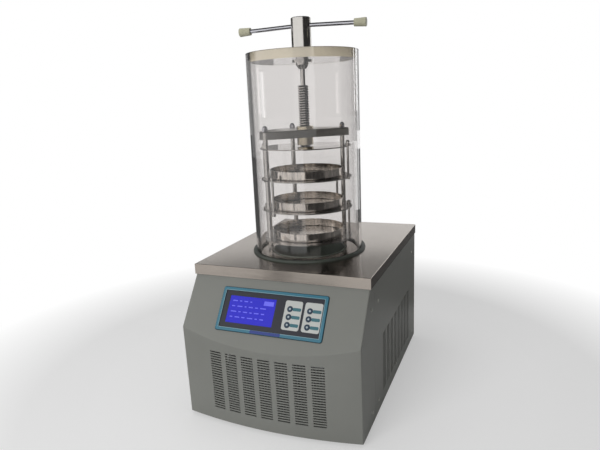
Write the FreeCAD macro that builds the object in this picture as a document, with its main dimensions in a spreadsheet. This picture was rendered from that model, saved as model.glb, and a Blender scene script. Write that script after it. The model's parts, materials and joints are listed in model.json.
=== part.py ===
# Bench-top freeze dryer with a clear drying chamber and a stoppering shelf rack.
#
# Frame: +Z up, +Y to the rear, origin on the ground under the middle of the whole
# machine. The cabinet pieces are drawn from the front edge of the top plate and the
# underside of the cabinet, the chamber pieces from the tube axis and the top of the
# plate, and the console pieces from the top edge of the sloping console face.
import FreeCAD
import Part
import math
import os
import re
import Sketcher
from FreeCAD import Placement, Rotation, Vector

doc = FreeCAD.newDocument("FreezeDryer")
sheet = doc.addObject("Spreadsheet::Sheet", "Sizes")

# ---------------------------------------------------------------- driving sizes
# name, value in millimetres, degrees or a plain count, and what it measures
SIZES = (
    ("plate_width", "450", "width of the top plate, the widest piece"),
    ("plate_depth", "537", "depth of the top plate"),
    ("plate_gauge", "1.5", "sheet thickness of the top plate"),
    ("lip_height", "26", "height of the top plate's folded lip"),
    ("cabinet_height", "362", "cabinet underside to the top of the plate"),
    ("panel_inset", "2.4", "how far the panels stand inside the plate's edge"),
    ("panel_gauge", "1.5", "sheet thickness of the side and rear panels and the base"),
    ("panel_gap", "0.6", "assembly gap between neighbouring sheets"),
    ("front_gauge", "2", "wall of the front panel"),
    ("knee_height", "228", "height of the console's lower corner at the sides"),
    ("knee_reach", "77", "how far that corner stands in front of the plate"),
    ("base_reach", "72.5", "how far the front panel's foot stands in front of the plate"),
    ("bow_rise", "22", "outward bow of the lower front between its sides"),
    ("bend_radius", "3", "outer radius of the front panel's bends"),
    ("seam_setback", "38", "plate's front edge to the seam of front and side panels"),
    ("foot_height", "8", "height of the rubber feet"),
    ("foot_radius", "15", "radius of a foot at its top"),
    ("foot_taper", "2", "how much narrower a foot is at the ground"),
    ("foot_inset", "50", "foot centre to the plate's side and rear edges"),
    ("foot_setback", "-30", "plate's front edge to the centre of the front feet"),
    ("tray_flange", "20", "height of the base tray's flanges"),
    ("post_size", "20", "side of a square corner post"),
    ("post_inset", "19", "corner post centre to the plate's side edge"),
    ("post_front", "15", "plate's front edge to the centre of the front posts"),
    ("post_rear", "17", "plate's rear edge to the centre of the rear posts"),
    ("vent_length", "31", "length of a vent slot"),
    ("vent_width", "3.2", "width of a vent slot"),
    ("vent_columns", "7", "vent slots across the front"),
    ("vent_rows", "24", "rows of vent slots"),
    ("vent_pitch_across", "42.6", "spacing of the slots across"),
    ("vent_pitch_up", "6.35", "spacing of the rows"),
    ("vent_floor", "34", "height of the lowest row"),
    ("side_vent_columns", "8", "vent slots along a side panel"),
    ("side_vent_setback", "130", "plate's front edge to the first slot of a side panel"),
    ("rear_vent_columns", "3", "vent slots across the rear panel, on each side"),
    ("rear_vent_rows", "16", "rows of vent slots in the rear panel"),
    ("rear_vent_floor", "150", "height of the lowest row in the rear panel"),
    ("rear_vent_offset", "75", "cabinet middle to the first slot of the rear panel"),
    ("screw_head_radius", "4", "head of a panel screw"),
    ("screw_head_height", "2", "height of that head"),
    ("screw_radius", "1.8", "shank of a panel screw"),
    ("screw_length", "6", "length of that shank"),
    ("screw_clearance", "0.3", "radial clearance of a panel's screw hole"),
    ("screw_low", "31", "height of the lower row of panel screws"),
    ("screw_high", "285", "height of the upper row of panel screws"),
    ("wrap_screw_setback", "9", "plate's front edge to the front panel's side screws"),
    ("side_screw_front", "68", "plate's front edge to the side panel's first screws"),
    ("side_screw_middle", "262", "plate's front edge to its lower middle screw"),
    ("side_screw_inset", "53", "plate's rear edge to the side panel's last screws"),
    ("rear_screw_inset", "45", "plate's side edge to the rear panel's screws"),
    # console
    ("console_width", "266", "width of the console frame"),
    ("console_height", "104.5", "height of the console frame along the slope"),
    ("console_drop", "78.2", "top of the slope to the middle of the console"),
    ("console_rim", "7.5", "width of the frame's rim"),
    ("console_rim_height", "3", "how far the rim stands off the slope"),
    ("console_corner", "5", "outer corner radius of the frame"),
    ("overlay_gauge", "1.2", "thickness of the overlay plate"),
    ("overlay_gap", "0.15", "gap of the overlay in its frame"),
    ("opening_margin", "6", "panel opening inside the overlay's edge"),
    ("display_width", "119.3", "visible width of the display"),
    ("display_height", "64.6", "visible height of the display"),
    ("display_offset", "-51.6", "cabinet middle to the display's middle"),
    ("display_gap", "0.2", "gap round the display in the overlay"),
    ("display_recess", "0.3", "how far the display lies under the overlay's face"),
    ("display_border", "2.5", "display housing beyond its glass"),
    ("display_depth", "9", "depth of the display housing"),
    ("key_plate_width", "42.5", "width of a key plate"),
    ("key_plate_height", "68", "height of a key plate"),
    ("key_plate_gauge", "0.6", "thickness of a key plate"),
    ("key_plate_first", "53.3", "cabinet middle to the first key plate's middle"),
    ("key_plate_spacing", "48.6", "spacing of the two key plates"),
    ("key_plate_corner", "5", "corner radius of a key plate"),
    ("key_radius", "6.8", "radius of a key"),
    ("key_gap", "0.3", "radial gap round a key"),
    ("key_offset", "-8", "key plate's middle to its keys"),
    ("key_lift", "4", "key plate's middle line down to the middle key"),
    ("key_pitch", "18.4", "spacing of the keys"),
    ("key_proud", "1", "how far a key stands off its plate"),
    ("key_travel", "0.8", "push travel of a key"),
    ("key_flange", "1", "retaining flange beyond a key's radius"),
    ("key_flange_gauge", "1.2", "thickness of that flange"),
    ("key_stem_radius", "2", "radius of a key's stem"),
    ("board_depth", "14", "overlay's back to the controller board's back"),
    ("board_gauge", "1.6", "thickness of the controller board"),
    ("board_height", "84", "height of the controller board"),
    ("switch_height", "5", "height of a tact switch on the board"),
    ("switch_side", "6", "side of a tact switch"),
    ("standoff_radius", "3", "radius of the board's standoffs"),
    # chamber
    ("tube_setback", "213", "plate's front edge to the tube axis"),
    ("tube_radius", "140", "outer radius of the chamber tube"),
    ("tube_wall", "10", "wall of the chamber tube"),
    ("tube_top", "501", "top of the chamber tube above the plate"),
    ("seal_radius", "150", "outer radius of the seal ring"),
    ("seal_height", "4.5", "height of the seal ring"),
    ("seal_floor", "2.5", "rubber under the tube's end"),
    ("seal_slope", "1.5", "how much the ring narrows upwards"),
    ("seal_gap", "0.3", "gap between the ring and the tube's outside"),
    ("seal_inner", "1", "seal ring inside the tube's bore"),
    ("lid_thickness", "21.5", "thickness of the chamber lid"),
    ("lid_gap", "0.1", "bond gap between the lid and the tube"),
    ("gland_radius", "15", "radius of the gland's sleeve in the lid"),
    ("gland_flange_radius", "25", "radius of the gland's flange under the lid"),
    ("gland_flange_height", "3.5", "height of that flange"),
    ("gland_proud", "0.7", "gland sleeve above the lid"),
    ("gland_nut_radius", "16", "radius of the gland nut"),
    ("gland_nut_height", "6.3", "height of its straight part"),
    ("gland_cone_radius", "9", "radius of its cone's end"),
    ("gland_cone_height", "9", "height of its cone"),
    ("running_gap", "0.05", "radial clearance of a shaft in its bearing"),
    ("thrust_gap", "0.3", "end clearance of a turning piece"),
    ("shaft_radius", "6", "radius of the drive shaft"),
    ("shaft_top", "545", "top of the drive shaft inside the hub"),
    ("shaft_hex", "10", "width across the flats of the shaft's end"),
    ("shaft_engagement", "45", "how deep the shaft's end sits in the screw"),
    ("socket_gap", "0.1", "clearance of the socket across its flats"),
    ("hub_radius", "24.5", "radius of the handle hub"),
    ("hub_height", "80.5", "height of the handle hub"),
    ("hub_chamfer", "1.5", "chamfer round the hub's top"),
    ("arm_radius", "5", "radius of a handle arm"),
    ("arm_height", "564", "height of the arms at the hub above the plate"),
    ("arm_droop", "1.6", "fall of an arm below level, in degrees"),
    ("handle_angle", "4", "turn of the handle at rest, seen from above, in degrees"),
    ("arm_root", "10", "hub axis to an arm's inner end"),
    ("cap_start", "134", "hub axis to a cap's inner end"),
    ("cap_length", "29.5", "length of a cap"),
    ("cap_neck_radius", "9.2", "radius of a cap at its inner end"),
    ("cap_end_radius", "10.7", "radius of a cap at its outer end"),
    ("cap_end_wall", "4", "cap material beyond the arm's end"),
    ("cap_rounding", "1.5", "rounding of a cap's outer edge"),
    # rack
    ("rack_turn", "41", "turn of the rack about the tube axis, in degrees"),
    ("column_circle", "105", "rack axis to a column's axis"),
    ("column_radius", "6", "radius of a column"),
    ("column_stud_radius", "4", "radius of a column's threaded end"),
    ("column_stud_length", "7", "threaded end above the rack's top plate"),
    ("column_collar_radius", "9", "radius of the collar under the lower shelf"),
    ("column_collar_height", "6", "height of that collar"),
    ("slide_gap", "0.5", "radial clearance of a shelf on a column"),
    ("dome_nut_flats", "13", "width across the flats of a dome nut"),
    ("dome_nut_hex_height", "8", "height of its hexagon"),
    ("dome_nut_dome_radius", "6.2", "radius of its dome"),
    ("rack_plate_radius", "117", "radius of the rack's top plate"),
    ("rack_plate_floor", "293", "underside of the rack's top plate above the plate"),
    ("rack_plate_height", "19.5", "thickness of the rack's top plate"),
    ("rack_plate_front", "26", "rack axis to that plate's straight front"),
    ("rack_plate_corner", "6", "rounding of its two front corners"),
    ("rack_plate_edge", "2.5", "chamfer round its top"),
    ("nut_flange_radius", "21.3", "radius of the screw nut's flange"),
    ("nut_flange_height", "8.5", "height of that flange"),
    ("nut_neck_radius", "17.5", "radius of the screw nut's neck"),
    ("boss_radius", "20.5", "radius of the boss under the rack's top plate"),
    ("boss_height", "19", "height of that boss"),
    ("screw_major_radius", "14", "radius of the press screw over its thread"),
    ("screw_top", "421.3", "top of the press screw above the plate"),
    ("screw_chamfer", "1.5", "chamfer of the screw's top edge"),
    ("socket_spare", "6", "socket depth beyond the shaft's end"),
    ("journal_radius", "8", "radius of the screw's lower journal"),
    ("retainer_radius", "13", "radius of the collar that keeps the screw"),
    ("retainer_height", "8", "height of that collar"),
    ("disc_radius", "117", "radius of the press plate and the shelves"),
    ("disc_gauge", "2.5", "thickness of the press plate and the shelves"),
    ("shelf_pitch", "78", "spacing of the press plate and the shelves"),
    ("lower_shelf_top", "37", "top of the lower shelf above the plate"),
    ("press_stroke", "25", "travel of the press plate"),
    ("hanger_circle", "109", "rack axis to a hanger pin's axis"),
    ("hanger_radius", "3", "radius of a hanger pin"),
    ("hanger_head_radius", "5", "radius of its head and of its stop"),
    ("hanger_head_height", "10", "height of its head and of its stop"),
    ("hanger_gap", "0.4", "radial clearance of a hanger pin in the shelf below"),
    ("hanger_angle", "20", "turn from a column to a hanger pin, in degrees"),
    ("tray_radius", "94", "outer radius of a tray"),
    ("tray_height", "22", "height of a tray"),
    ("tray_wall", "1", "wall and floor of a tray"),
    ("tray_bead", "0.8", "how far a tray's rolled rim stands out"),
    ("tray_bead_height", "2", "height of that rim"),
    # cold trap
    ("trap_radius", "93", "bore of the cold trap"),
    ("trap_wall", "1.5", "wall of the trap vessel"),
    ("trap_depth", "190", "depth of the trap below the plate"),
    ("trap_flange_radius", "98", "radius of the trap's flange on the plate"),
    ("trap_gap", "0.3", "gap of the trap in the plate's hole"),
    ("coil_tube_radius", "4.2", "radius of the evaporator tube"),
    ("coil_header_radius", "3.4", "radius of the upright pipe that joins the turns"),
    ("coil_gap", "0.1", "gap between the coil and the vessel"),
    ("coil_turns", "8", "turns of the evaporator coil"),
    ("coil_pitch", "14", "spacing of those turns"),
    ("coil_start", "82", "depth of the first turn below the plate, clear of the port"),
    ("coil_tail", "236", "depth of the coil's tails below the plate"),
    ("jacket_wall", "21", "wall of the trap's insulation"),
    ("jacket_floor", "15", "insulation under the trap"),
    ("jacket_gap", "0.3", "gap between the coil and its insulation"),
    ("stub_radius", "6", "radius of the drain stub"),
    ("stub_length", "15", "length of the drain stub"),
    ("drain_wall", "1.5", "wall of the drain pipe"),
    ("drain_level", "60", "height of the drain pipe's level run"),
    ("drain_bend", "30", "bend radius of the drain pipe"),
    ("valve_collar_radius", "12", "radius of the drain valve's collar"),
    ("valve_collar_length", "4", "length of that collar"),
    ("valve_body_radius", "10", "radius of the drain valve's body"),
    ("valve_body_length", "16", "length of that body"),
    ("valve_spout_radius", "5", "radius of the drain spout"),
    ("valve_spout_wall", "1.5", "wall of the drain spout"),
    ("lever_stem_radius", "3", "radius of the drain lever's stem"),
    ("lever_length", "34", "stem axis to the drain lever's tip"),
    ("lever_width", "9", "width of the drain lever"),
    ("lever_gauge", "2.5", "thickness of the drain lever"),
    ("lever_rise", "13", "valve axis to the underside of the lever"),
    ("port_reach", "30", "how far the vacuum port stands out at the rear"),
    ("port_depth", "60", "top of the plate down to the vacuum port's axis"),
    ("port_radius", "12.5", "radius of the vacuum port's spigot"),
    ("port_pipe_radius", "11", "radius of the pipe between trap and port"),
    ("port_wall", "1.5", "wall of that pipe"),
    ("port_collar_radius", "18", "radius of the port's collar"),
    ("port_collar_length", "4", "length of that collar"),
    # refrigeration and electrics inside
    ("compressor_radius", "62", "radius of the compressor shell"),
    ("compressor_height", "172", "height of the compressor"),
    ("compressor_offset", "-95", "cabinet middle to the compressor"),
    ("compressor_back", "45", "compressor's axis behind the middle of the trap and the rear"),
    ("compressor_base", "150", "side of its base plate"),
    ("compressor_seam", "3", "how far its weld seam stands out"),
    ("condenser_width", "260", "width of the condenser"),
    ("condenser_height", "150", "height of the condenser"),
    ("condenser_depth", "40", "depth of the condenser"),
    ("condenser_setback", "-30", "plate's front edge to the condenser's front"),
    ("fin_gap", "6", "gap between two fins of the condenser"),
    ("fin_pitch", "8", "spacing of the fins"),
    ("fin_count", "31", "gaps between the fins"),
    ("fin_depth", "30", "depth of the gaps between the fins"),
    ("fan_height", "92", "height of the fan's axis"),
    ("fan_setback", "18", "plate's front edge to the fan hub's front"),
    ("fan_radius", "68", "radius over the fan's blades"),
    ("fan_hub_radius", "18", "radius of the fan's hub"),
    ("fan_hub_length", "18", "length of the fan's hub"),
    ("blade_count", "5", "blades of the fan"),
    ("blade_width", "34", "width of a blade"),
    ("blade_gauge", "1.5", "thickness of a blade"),
    ("blade_pitch", "28", "pitch of a blade, in degrees"),
    ("motor_radius", "30", "radius of the fan motor"),
    ("motor_length", "42", "length of the fan motor"),
    ("motor_shaft_radius", "3", "radius of the fan's shaft"),
    ("motor_shaft_depth", "12", "how deep the shaft runs into the motor"),
    ("motor_gap", "3", "gap between the fan's hub and its motor"),
    ("motor_foot_width", "44", "width of the fan motor's foot"),
    ("inlet_inset", "113", "plate's side edge to the mains inlet"),
    ("switch_inset", "60", "plate's side edge to the power switch"),
    ("utility_height", "76", "height of the mains inlet and the power switch"),
    ("inlet_width", "27", "width of the mains inlet's housing"),
    ("inlet_height", "19.5", "height of the mains inlet's housing"),
    ("inlet_depth", "24", "depth of the mains inlet's housing"),
    ("inlet_flange", "9", "flange beyond that housing on each side"),
    ("inlet_flange_top", "3", "flange above and below that housing"),
    ("inlet_flange_gauge", "2.5", "thickness of that flange"),
    ("inlet_wall", "1.6", "wall of the mains inlet's housing"),
    ("inlet_recess", "20", "depth of the recess for a plug"),
    ("inlet_pin_length", "14", "length of a contact pin"),
    ("inlet_pin_width", "2", "width of a contact pin"),
    ("inlet_pin_height", "4", "height of a contact pin"),
    ("inlet_pin_spacing", "7", "inlet's middle to its outer pins"),
    ("switch_width", "22", "width of the power switch's housing"),
    ("switch_tall", "30", "height of the power switch's housing"),
    ("switch_depth", "18", "depth of the power switch's housing"),
    ("switch_rim", "3", "flange beyond that housing"),
    ("switch_wall", "2", "wall of the power switch's housing"),
    ("switch_recess", "14", "depth of its recess"),
    ("rocker_gap", "0.6", "gap round the rocker"),
    ("rocker_gauge", "5", "thickness of the rocker"),
    ("rocker_tilt", "8", "rocker's lean at rest, in degrees"),
    ("rocker_pin_radius", "1.5", "radius of the rocker's pivot pins"),
    ("rocker_pin_length", "1.4", "how far a pivot pin runs into the wall"),
    ("pipe_radius", "4", "radius of a copper pipe"),
    ("pipe_bend", "18", "bend radius of a copper pipe"),
    ("drier_radius", "11", "radius of the filter drier"),
    ("drier_length", "80", "length of the filter drier"),
)

# sizes worked out from the driving ones
DERIVED = (
    ("flange_top", "=cabinet_height - plate_gauge - panel_gap", "top edge of the panels"),
    ("half_panels", "=plate_width / 2 - panel_inset", "cabinet middle to a side's face"),
    ("rear_screw_offset", "=plate_width / 2 - rear_screw_inset", "middle to a rear screw"),
    ("inlet_offset", "=plate_width / 2 - inlet_inset", "cabinet middle to the mains inlet"),
    ("switch_offset", "=plate_width / 2 - switch_inset", "cabinet middle to the switch"),
    ("slope_top", "=cabinet_height - lip_height", "top of the console slope"),
    ("slope_drop", "=slope_top - knee_height", "fall of the slope"),
    ("slope_run", "=panel_inset + knee_reach", "level run of the slope"),
    ("slope_angle", "=atan(slope_drop / slope_run)", "slope against the level"),
    ("lean_angle", "=atan((knee_reach - base_reach) / knee_height)", "lean of the front"),
    ("bow_radius", "=(half_panels^2 + bow_rise^2) / (2 * bow_rise)", "radius of the bow"),
    ("crease_drop", "=bow_rise / (slope_run / slope_drop + (knee_reach - base_reach)"
     " / knee_height)", "fall of the slope below the knee at the middle"),
    ("front_reach", "=knee_reach + crease_drop * slope_run / slope_drop",
     "foremost point in front of the plate"),
    ("plate_front", "=(front_reach - plate_depth - port_reach) / 2", "plate's front edge"),
    ("plate_top", "=foot_height + cabinet_height", "top of the plate above the ground"),
    ("tube_y", "=plate_front + tube_setback", "tube axis"),
    ("compressor_setback", "=(tube_setback + plate_depth) / 2 + compressor_back", "compressor"),
    ("side_screw_rear", "=plate_depth - side_screw_inset", "side panel's last screws"),
    ("press_top", "=lower_shelf_top + 3 * shelf_pitch", "top of the press plate"),
    ("coil_radius", "=trap_radius + trap_wall + coil_gap + coil_tube_radius", "coil"),
    ("jacket_bore", "=coil_radius + coil_tube_radius + jacket_gap", "insulation's bore"),
    ("key_drop", "=console_drop + key_lift", "top of the slope to the middle keys"),
    ("board_back", "=-board_depth", "back of the controller board off the slope"),
    ("overlay_width", "=console_width - 2 * console_rim - 2 * overlay_gap", "overlay"),
    ("overlay_height", "=console_height - 2 * console_rim - 2 * overlay_gap", "overlay"),
    ("lid_floor", "=tube_top - lid_thickness", "underside of the lid"),
    ("hub_floor", "=tube_top + gland_proud + thrust_gap", "underside of the hub"),
    ("shaft_foot", "=screw_top - shaft_engagement", "lower end of the drive shaft"),
    ("screw_foot", "=press_top + thrust_gap", "shoulder of the screw over the press plate"),
)

for row, (name, value, note) in enumerate(SIZES + DERIVED, start=1):
    sheet.set(f"A{row}", name)
    sheet.set(f"B{row}", value)
    sheet.setAlias(f"B{row}", name)
    sheet.set(f"C{row}", note)
doc.recompute()

NAMES = {name for name, value, note in SIZES + DERIVED}
SUBPARTS = []

CABINET = ("0", "plate_front", "foot_height")
SLOPE = ("0", "plate_front + panel_inset", "foot_height + slope_top")
CHAMBER = ("0", "tube_y", "plate_top")
X_AXIS = Vector(1, 0, 0)
Y_AXIS = Vector(0, 1, 0)
Z_AXIS = Vector(0, 0, 1)


# ---------------------------------------------------------------- drawing helpers
def formula(text):
    """A formula with each size name turned into a reference to the sheet."""
    return re.sub(r"[a-z][a-z_]+", lambda word: "Sizes." + word.group(0)
                  if word.group(0) in NAMES else word.group(0), text)


def bind(thing, path, text):
    """Ties one property of a document object to a formula."""
    thing.setExpression(path, formula(text))


def size(name):
    """The present value of one size, as a plain number."""
    value = getattr(sheet, name)
    return float(getattr(value, "Value", value))


def place(thing, origin, turn=None, about=Z_AXIS):
    """Stands an object at three formulas, turned about one axis through its origin."""
    if turn is not None:
        thing.Placement = Placement(Vector(), Rotation(about, 1))
        bind(thing, "Placement.Rotation.Angle", turn)
    for letter, text in zip("xyz", origin):
        bind(thing, f"Placement.Base.{letter}", text)


def subpart(thing, label):
    """Names an object as a sub-part of the machine."""
    thing.Label = label
    SUBPARTS.append(thing)
    return thing


def new_body(label, origin=CABINET, turn=None, about=Z_AXIS):
    """An empty body that becomes the sub-part of that label."""
    body = doc.addObject("PartDesign::Body", label)
    place(body, origin, turn, about)
    return subpart(body, label)


def new_sketch(body, plane, lift=None, shift=None, tilt=None, rise=None):
    """A sketch on a plane of the body's origin: lift along its normal, shift and rise
    along its own axes, tilt in degrees about its own first axis."""
    sketch = body.newObject("Sketcher::SketchObject", body.Label + "_sketch")
    support = next(item for item in body.Origin.OriginFeatures if item.Role == plane)
    sketch.AttachmentSupport = [(support, "")]
    sketch.MapMode = "FlatFace"
    if tilt is not None:
        sketch.AttachmentOffset = Placement(Vector(), Rotation(X_AXIS, 1))
        bind(sketch, "AttachmentOffset.Rotation.Angle", tilt)
    for letter, text in (("x", shift), ("y", rise), ("z", lift)):
        if text is not None:
            bind(sketch, f"AttachmentOffset.Base.{letter}", text)
    return sketch


def pin_point(sketch, edge, end, across, up):
    """Fixes one end or centre of an edge at two formulas."""
    for kind, text in (("DistanceX", across), ("DistanceY", up)):
        number = sketch.addConstraint(Sketcher.Constraint(kind, -1, 1, edge, end, 1.0))
        bind(sketch, f"Constraints[{number}]", text)


def outline(sketch, points):
    """A closed outline of straight lines through points given as pairs of formulas."""
    count = len(points)
    first = sketch.GeometryCount
    rough = [Vector(math.cos(math.tau * i / count), math.sin(math.tau * i / count), 0)
             for i in range(count)]
    for i in range(count):
        sketch.addGeometry(Part.LineSegment(rough[i], rough[(i + 1) % count]), False)
    for i in range(count):
        after = first + (i + 1) % count
        sketch.addConstraint(Sketcher.Constraint("Coincident", first + i, 2, after, 1))
    for i, (across, up) in enumerate(points):
        pin_point(sketch, first + i, 1, across, up)


def rectangle(sketch, left, low, right, high):
    """A closed rectangle between two corners."""
    outline(sketch, ((left, low), (right, low), (right, high), (left, high)))


def centred(sketch, width, height, across="0", up="0"):
    """A closed rectangle about a centre."""
    rectangle(sketch, f"{across} - ({width}) / 2", f"{up} - ({height}) / 2",
              f"{across} + ({width}) / 2", f"{up} + ({height}) / 2")


def circle(sketch, radius, across="0", up="0"):
    """A full circle about a centre."""
    edge = sketch.addGeometry(Part.Circle(Vector(), Z_AXIS, 1), False)
    pin_point(sketch, edge, 3, across, up)
    number = sketch.addConstraint(Sketcher.Constraint("Radius", edge, 1.0))
    bind(sketch, f"Constraints[{number}]", radius)


def hexagon(sketch, flats):
    """A regular hexagon about the sketch's origin, by its width across the flats."""
    corner = f"({flats}) / sqrt(3)"
    outline(sketch, [(f"{corner} * cos({turn})", f"{corner} * sin({turn})")
                     for turn in range(0, 360, 60)])


def slot(sketch, length, width, across, up):
    """A slot with round ends, lying along the sketch's first axis."""
    half = 10.0
    left = sketch.addGeometry(Part.ArcOfCircle(
        Part.Circle(Vector(-half, 0, 0), Z_AXIS, 1), math.pi / 2, 3 * math.pi / 2), False)
    right = sketch.addGeometry(Part.ArcOfCircle(
        Part.Circle(Vector(half, 0, 0), Z_AXIS, 1), -math.pi / 2, math.pi / 2), False)
    low = sketch.addGeometry(Part.LineSegment(Vector(-half, -1, 0), Vector(half, -1, 0)), False)
    high = sketch.addGeometry(Part.LineSegment(Vector(half, 1, 0), Vector(-half, 1, 0)), False)
    for one, other in (((left, 2), (low, 1)), ((low, 2), (right, 1)),
                       ((right, 2), (high, 1)), ((high, 2), (left, 1))):
        sketch.addConstraint(Sketcher.Constraint("Tangent", *one, *other))
    pin_point(sketch, left, 3, f"{across} - ({length} - {width}) / 2", up)
    pin_point(sketch, right, 3, f"{across} + ({length} - {width}) / 2", up)
    for arc in (left, right):
        number = sketch.addConstraint(Sketcher.Constraint("Radius", arc, 1.0))
        bind(sketch, f"Constraints[{number}]", f"{width} / 2")


def feature(body, kind, sketch, reverse):
    """A new feature of a body, made from a sketch."""
    made = body.newObject("PartDesign::" + kind, f"{body.Label}_{kind.lower()}")
    made.Profile = sketch
    made.Reversed = reverse
    return made


def pad(body, sketch, length, reverse=False, both=False):
    """Adds a sketch's area along its normal."""
    made = feature(body, "Pad", sketch, reverse)
    if both:
        made.SideType = "Symmetric"
    bind(made, "Length", length)
    return made


def pocket(body, sketch, depth, reverse=False):
    """Cuts a sketch's area against its normal, or along it when reversed."""
    made = feature(body, "Pocket", sketch, reverse)
    bind(made, "Length", depth)
    return made


def pierce(body, sketch, both=True, reverse=False):
    """Cuts a sketch's area right through the body."""
    made = feature(body, "Pocket", sketch, reverse)
    made.Type = "ThroughAll"
    if both:
        made.SideType = "Symmetric"
    return made


def revolve(body, sketch):
    """Turns a sketch's area about the sketch's own upright axis."""
    made = feature(body, "Revolution", sketch, False)
    made.ReferenceAxis = (sketch, ["V_Axis"])
    made.Angle = 360
    return made


def axis_of(body, role):
    """One axis of a body's origin."""
    return next(item for item in body.Origin.OriginFeatures if item.Role == role)


def around(body, made, count, angle="360"):
    """Repeats a feature about the body's upright axis."""
    pattern = body.newObject("PartDesign::PolarPattern", body.Label + "_around")
    pattern.Originals = [made]
    pattern.Axis = (axis_of(body, "Z_Axis"), [""])
    bind(pattern, "Angle", angle)
    bind(pattern, "Occurrences", count)
    body.Tip = pattern
    return pattern


def grid(body, made, first, second=None):
    """Repeats a feature along one or two axes: each is a role, a count and a pitch."""
    pattern = body.newObject("PartDesign::LinearPattern", body.Label + "_grid")
    pattern.Originals = [made]
    role, count, pitch = first
    pattern.Direction = (axis_of(body, role), [""])
    bind(pattern, "Length", f"({pitch}) * ({count} - 1)")
    bind(pattern, "Occurrences", count)
    if second is not None:
        role, count, pitch = second
        pattern.Direction2 = (axis_of(body, role), [""])
        bind(pattern, "Length2", f"({pitch}) * ({count} - 1)")
        bind(pattern, "Occurrences2", count)
    body.Tip = pattern
    return pattern


def mirror(body, made, plane="YZ_Plane"):
    """Mirrors features in one plane of the body's origin."""
    pattern = body.newObject("PartDesign::Mirrored", body.Label + "_mirror")
    pattern.Originals = made
    support = next(item for item in body.Origin.OriginFeatures if item.Role == plane)
    pattern.MirrorPlane = (support, [""])
    body.Tip = pattern
    return pattern


def ease(body, radius, chosen, kind="Fillet"):
    """Rounds or chamfers the edges of a body's tip that a test picks."""
    doc.recompute()
    base = body.Tip
    names = [f"Edge{number}" for number, edge in enumerate(base.Shape.Edges, start=1)
             if chosen(edge)]
    made = body.newObject("PartDesign::" + kind, f"{body.Label}_{kind.lower()}")
    made.Base = (base, names)
    bind(made, "Radius" if kind == "Fillet" else "Size", radius)
    return made


def near(value, target):
    """True if two lengths are the same to a hundredth of a millimetre."""
    return abs(value - target) < 0.01


def level(edge, height):
    """True if an edge lies wholly at one height of its body."""
    box = edge.BoundBox
    return near(box.ZMin, height) and near(box.ZMax, height)


def upright(edge):
    """True if an edge is a straight line along its body's Z axis."""
    box = edge.BoundBox
    return near(box.XLength, 0) and near(box.YLength, 0)


def turned(label, origin, profile, turn=None, about=Z_AXIS, offset=None):
    """A body turned on a lathe from a profile of radius and height formulas; its axis
    may stand off the body's own upright axis."""
    body = new_body(label, origin, turn, about)
    sketch = new_sketch(body, "XZ_Plane", shift=offset)
    outline(sketch, profile)
    revolve(body, sketch)
    return body


# ---------------------------------------------------------------- cabinet
def top_plate():
    body = new_body("top_plate")
    sheet_area = new_sketch(body, "XY_Plane", lift="slope_top")
    rectangle(sheet_area, "-plate_width / 2", "0", "plate_width / 2", "plate_depth")
    pad(body, sheet_area, "lip_height")
    edge = size("cabinet_height")
    ease(body, "plate_gauge", lambda line: level(line, edge)
         and not near(line.BoundBox.YMin, size("plate_depth")))
    hollow = new_sketch(body, "XY_Plane", lift="slope_top")
    rectangle(hollow, "-plate_width / 2 + plate_gauge", "plate_gauge",
              "plate_width / 2 - plate_gauge", "plate_depth + plate_gauge")
    pocket(body, hollow, "lip_height - plate_gauge", reverse=True)
    mouth = new_sketch(body, "XY_Plane", lift="cabinet_height")
    circle(mouth, "trap_radius + trap_wall + trap_gap", up="tube_setback")
    pierce(body, mouth, both=False)


def base_tray():
    body = new_body("base_tray")
    half = "half_panels - panel_gauge - panel_gap"
    rear = "plate_depth - panel_gauge - panel_gap"
    front = "-(base_reach + bow_rise)"
    block = new_sketch(body, "XY_Plane")
    rectangle(block, f"-({half})", front, half, rear)
    pad(body, block, "tray_flange")
    hollow = new_sketch(body, "XY_Plane", lift="panel_gauge")
    rectangle(hollow, f"-({half}) + panel_gauge", f"{front} - panel_gauge",
              f"{half} - panel_gauge", f"{rear} - panel_gauge")
    pocket(body, hollow, "tray_flange", reverse=True)
    bow = new_sketch(body, "XY_Plane")
    middle = "bow_radius - base_reach - bow_rise"
    centred(bow, "bow_radius * 3", "bow_radius * 3", up=middle)
    circle(bow, "bow_radius - front_gauge - panel_gap", up=middle)
    pierce(body, bow)


def rubber_feet():
    body = new_body("rubber_feet", ("0", "plate_front", "0"))
    profile = new_sketch(body, "XZ_Plane", shift="-plate_width / 2 + foot_inset",
                         lift="-foot_setback")
    outline(profile, (("0", "foot_taper"), ("foot_taper * 2", "foot_taper"),
                      ("foot_taper * 2", "0"), ("foot_radius - foot_taper", "0"),
                      ("foot_radius", "foot_height"), ("0", "foot_height")))
    foot = revolve(body, profile)
    grid(body, foot, ("X_Axis", "2", "plate_width - 2 * foot_inset"),
         ("Y_Axis", "2", "plate_depth - foot_inset - foot_setback"))


def corner_posts():
    body = new_body("corner_posts")
    section = new_sketch(body, "XY_Plane", lift="panel_gauge")
    for side in ("post_size", "post_size - 2 * panel_gauge"):
        centred(section, side, side, "-plate_width / 2 + post_inset", "post_front")
    post = pad(body, section, "cabinet_height - plate_gauge - panel_gauge")
    grid(body, post, ("X_Axis", "2", "plate_width - 2 * post_inset"),
         ("Y_Axis", "2", "plate_depth - post_front - post_rear"))


def front_vents(body):
    """The field of vent slots in the bowed lower front."""
    cut = new_sketch(body, "XZ_Plane", lift="base_reach / 2")
    slot(cut, "vent_length", "vent_width",
         "-vent_pitch_across * (vent_columns - 1) / 2", "vent_floor")
    first = pierce(body, cut, both=False, reverse=True)
    grid(body, first, ("X_Axis", "vent_columns", "vent_pitch_across"),
         ("Z_Axis", "vent_rows", "vent_pitch_up"))


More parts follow.
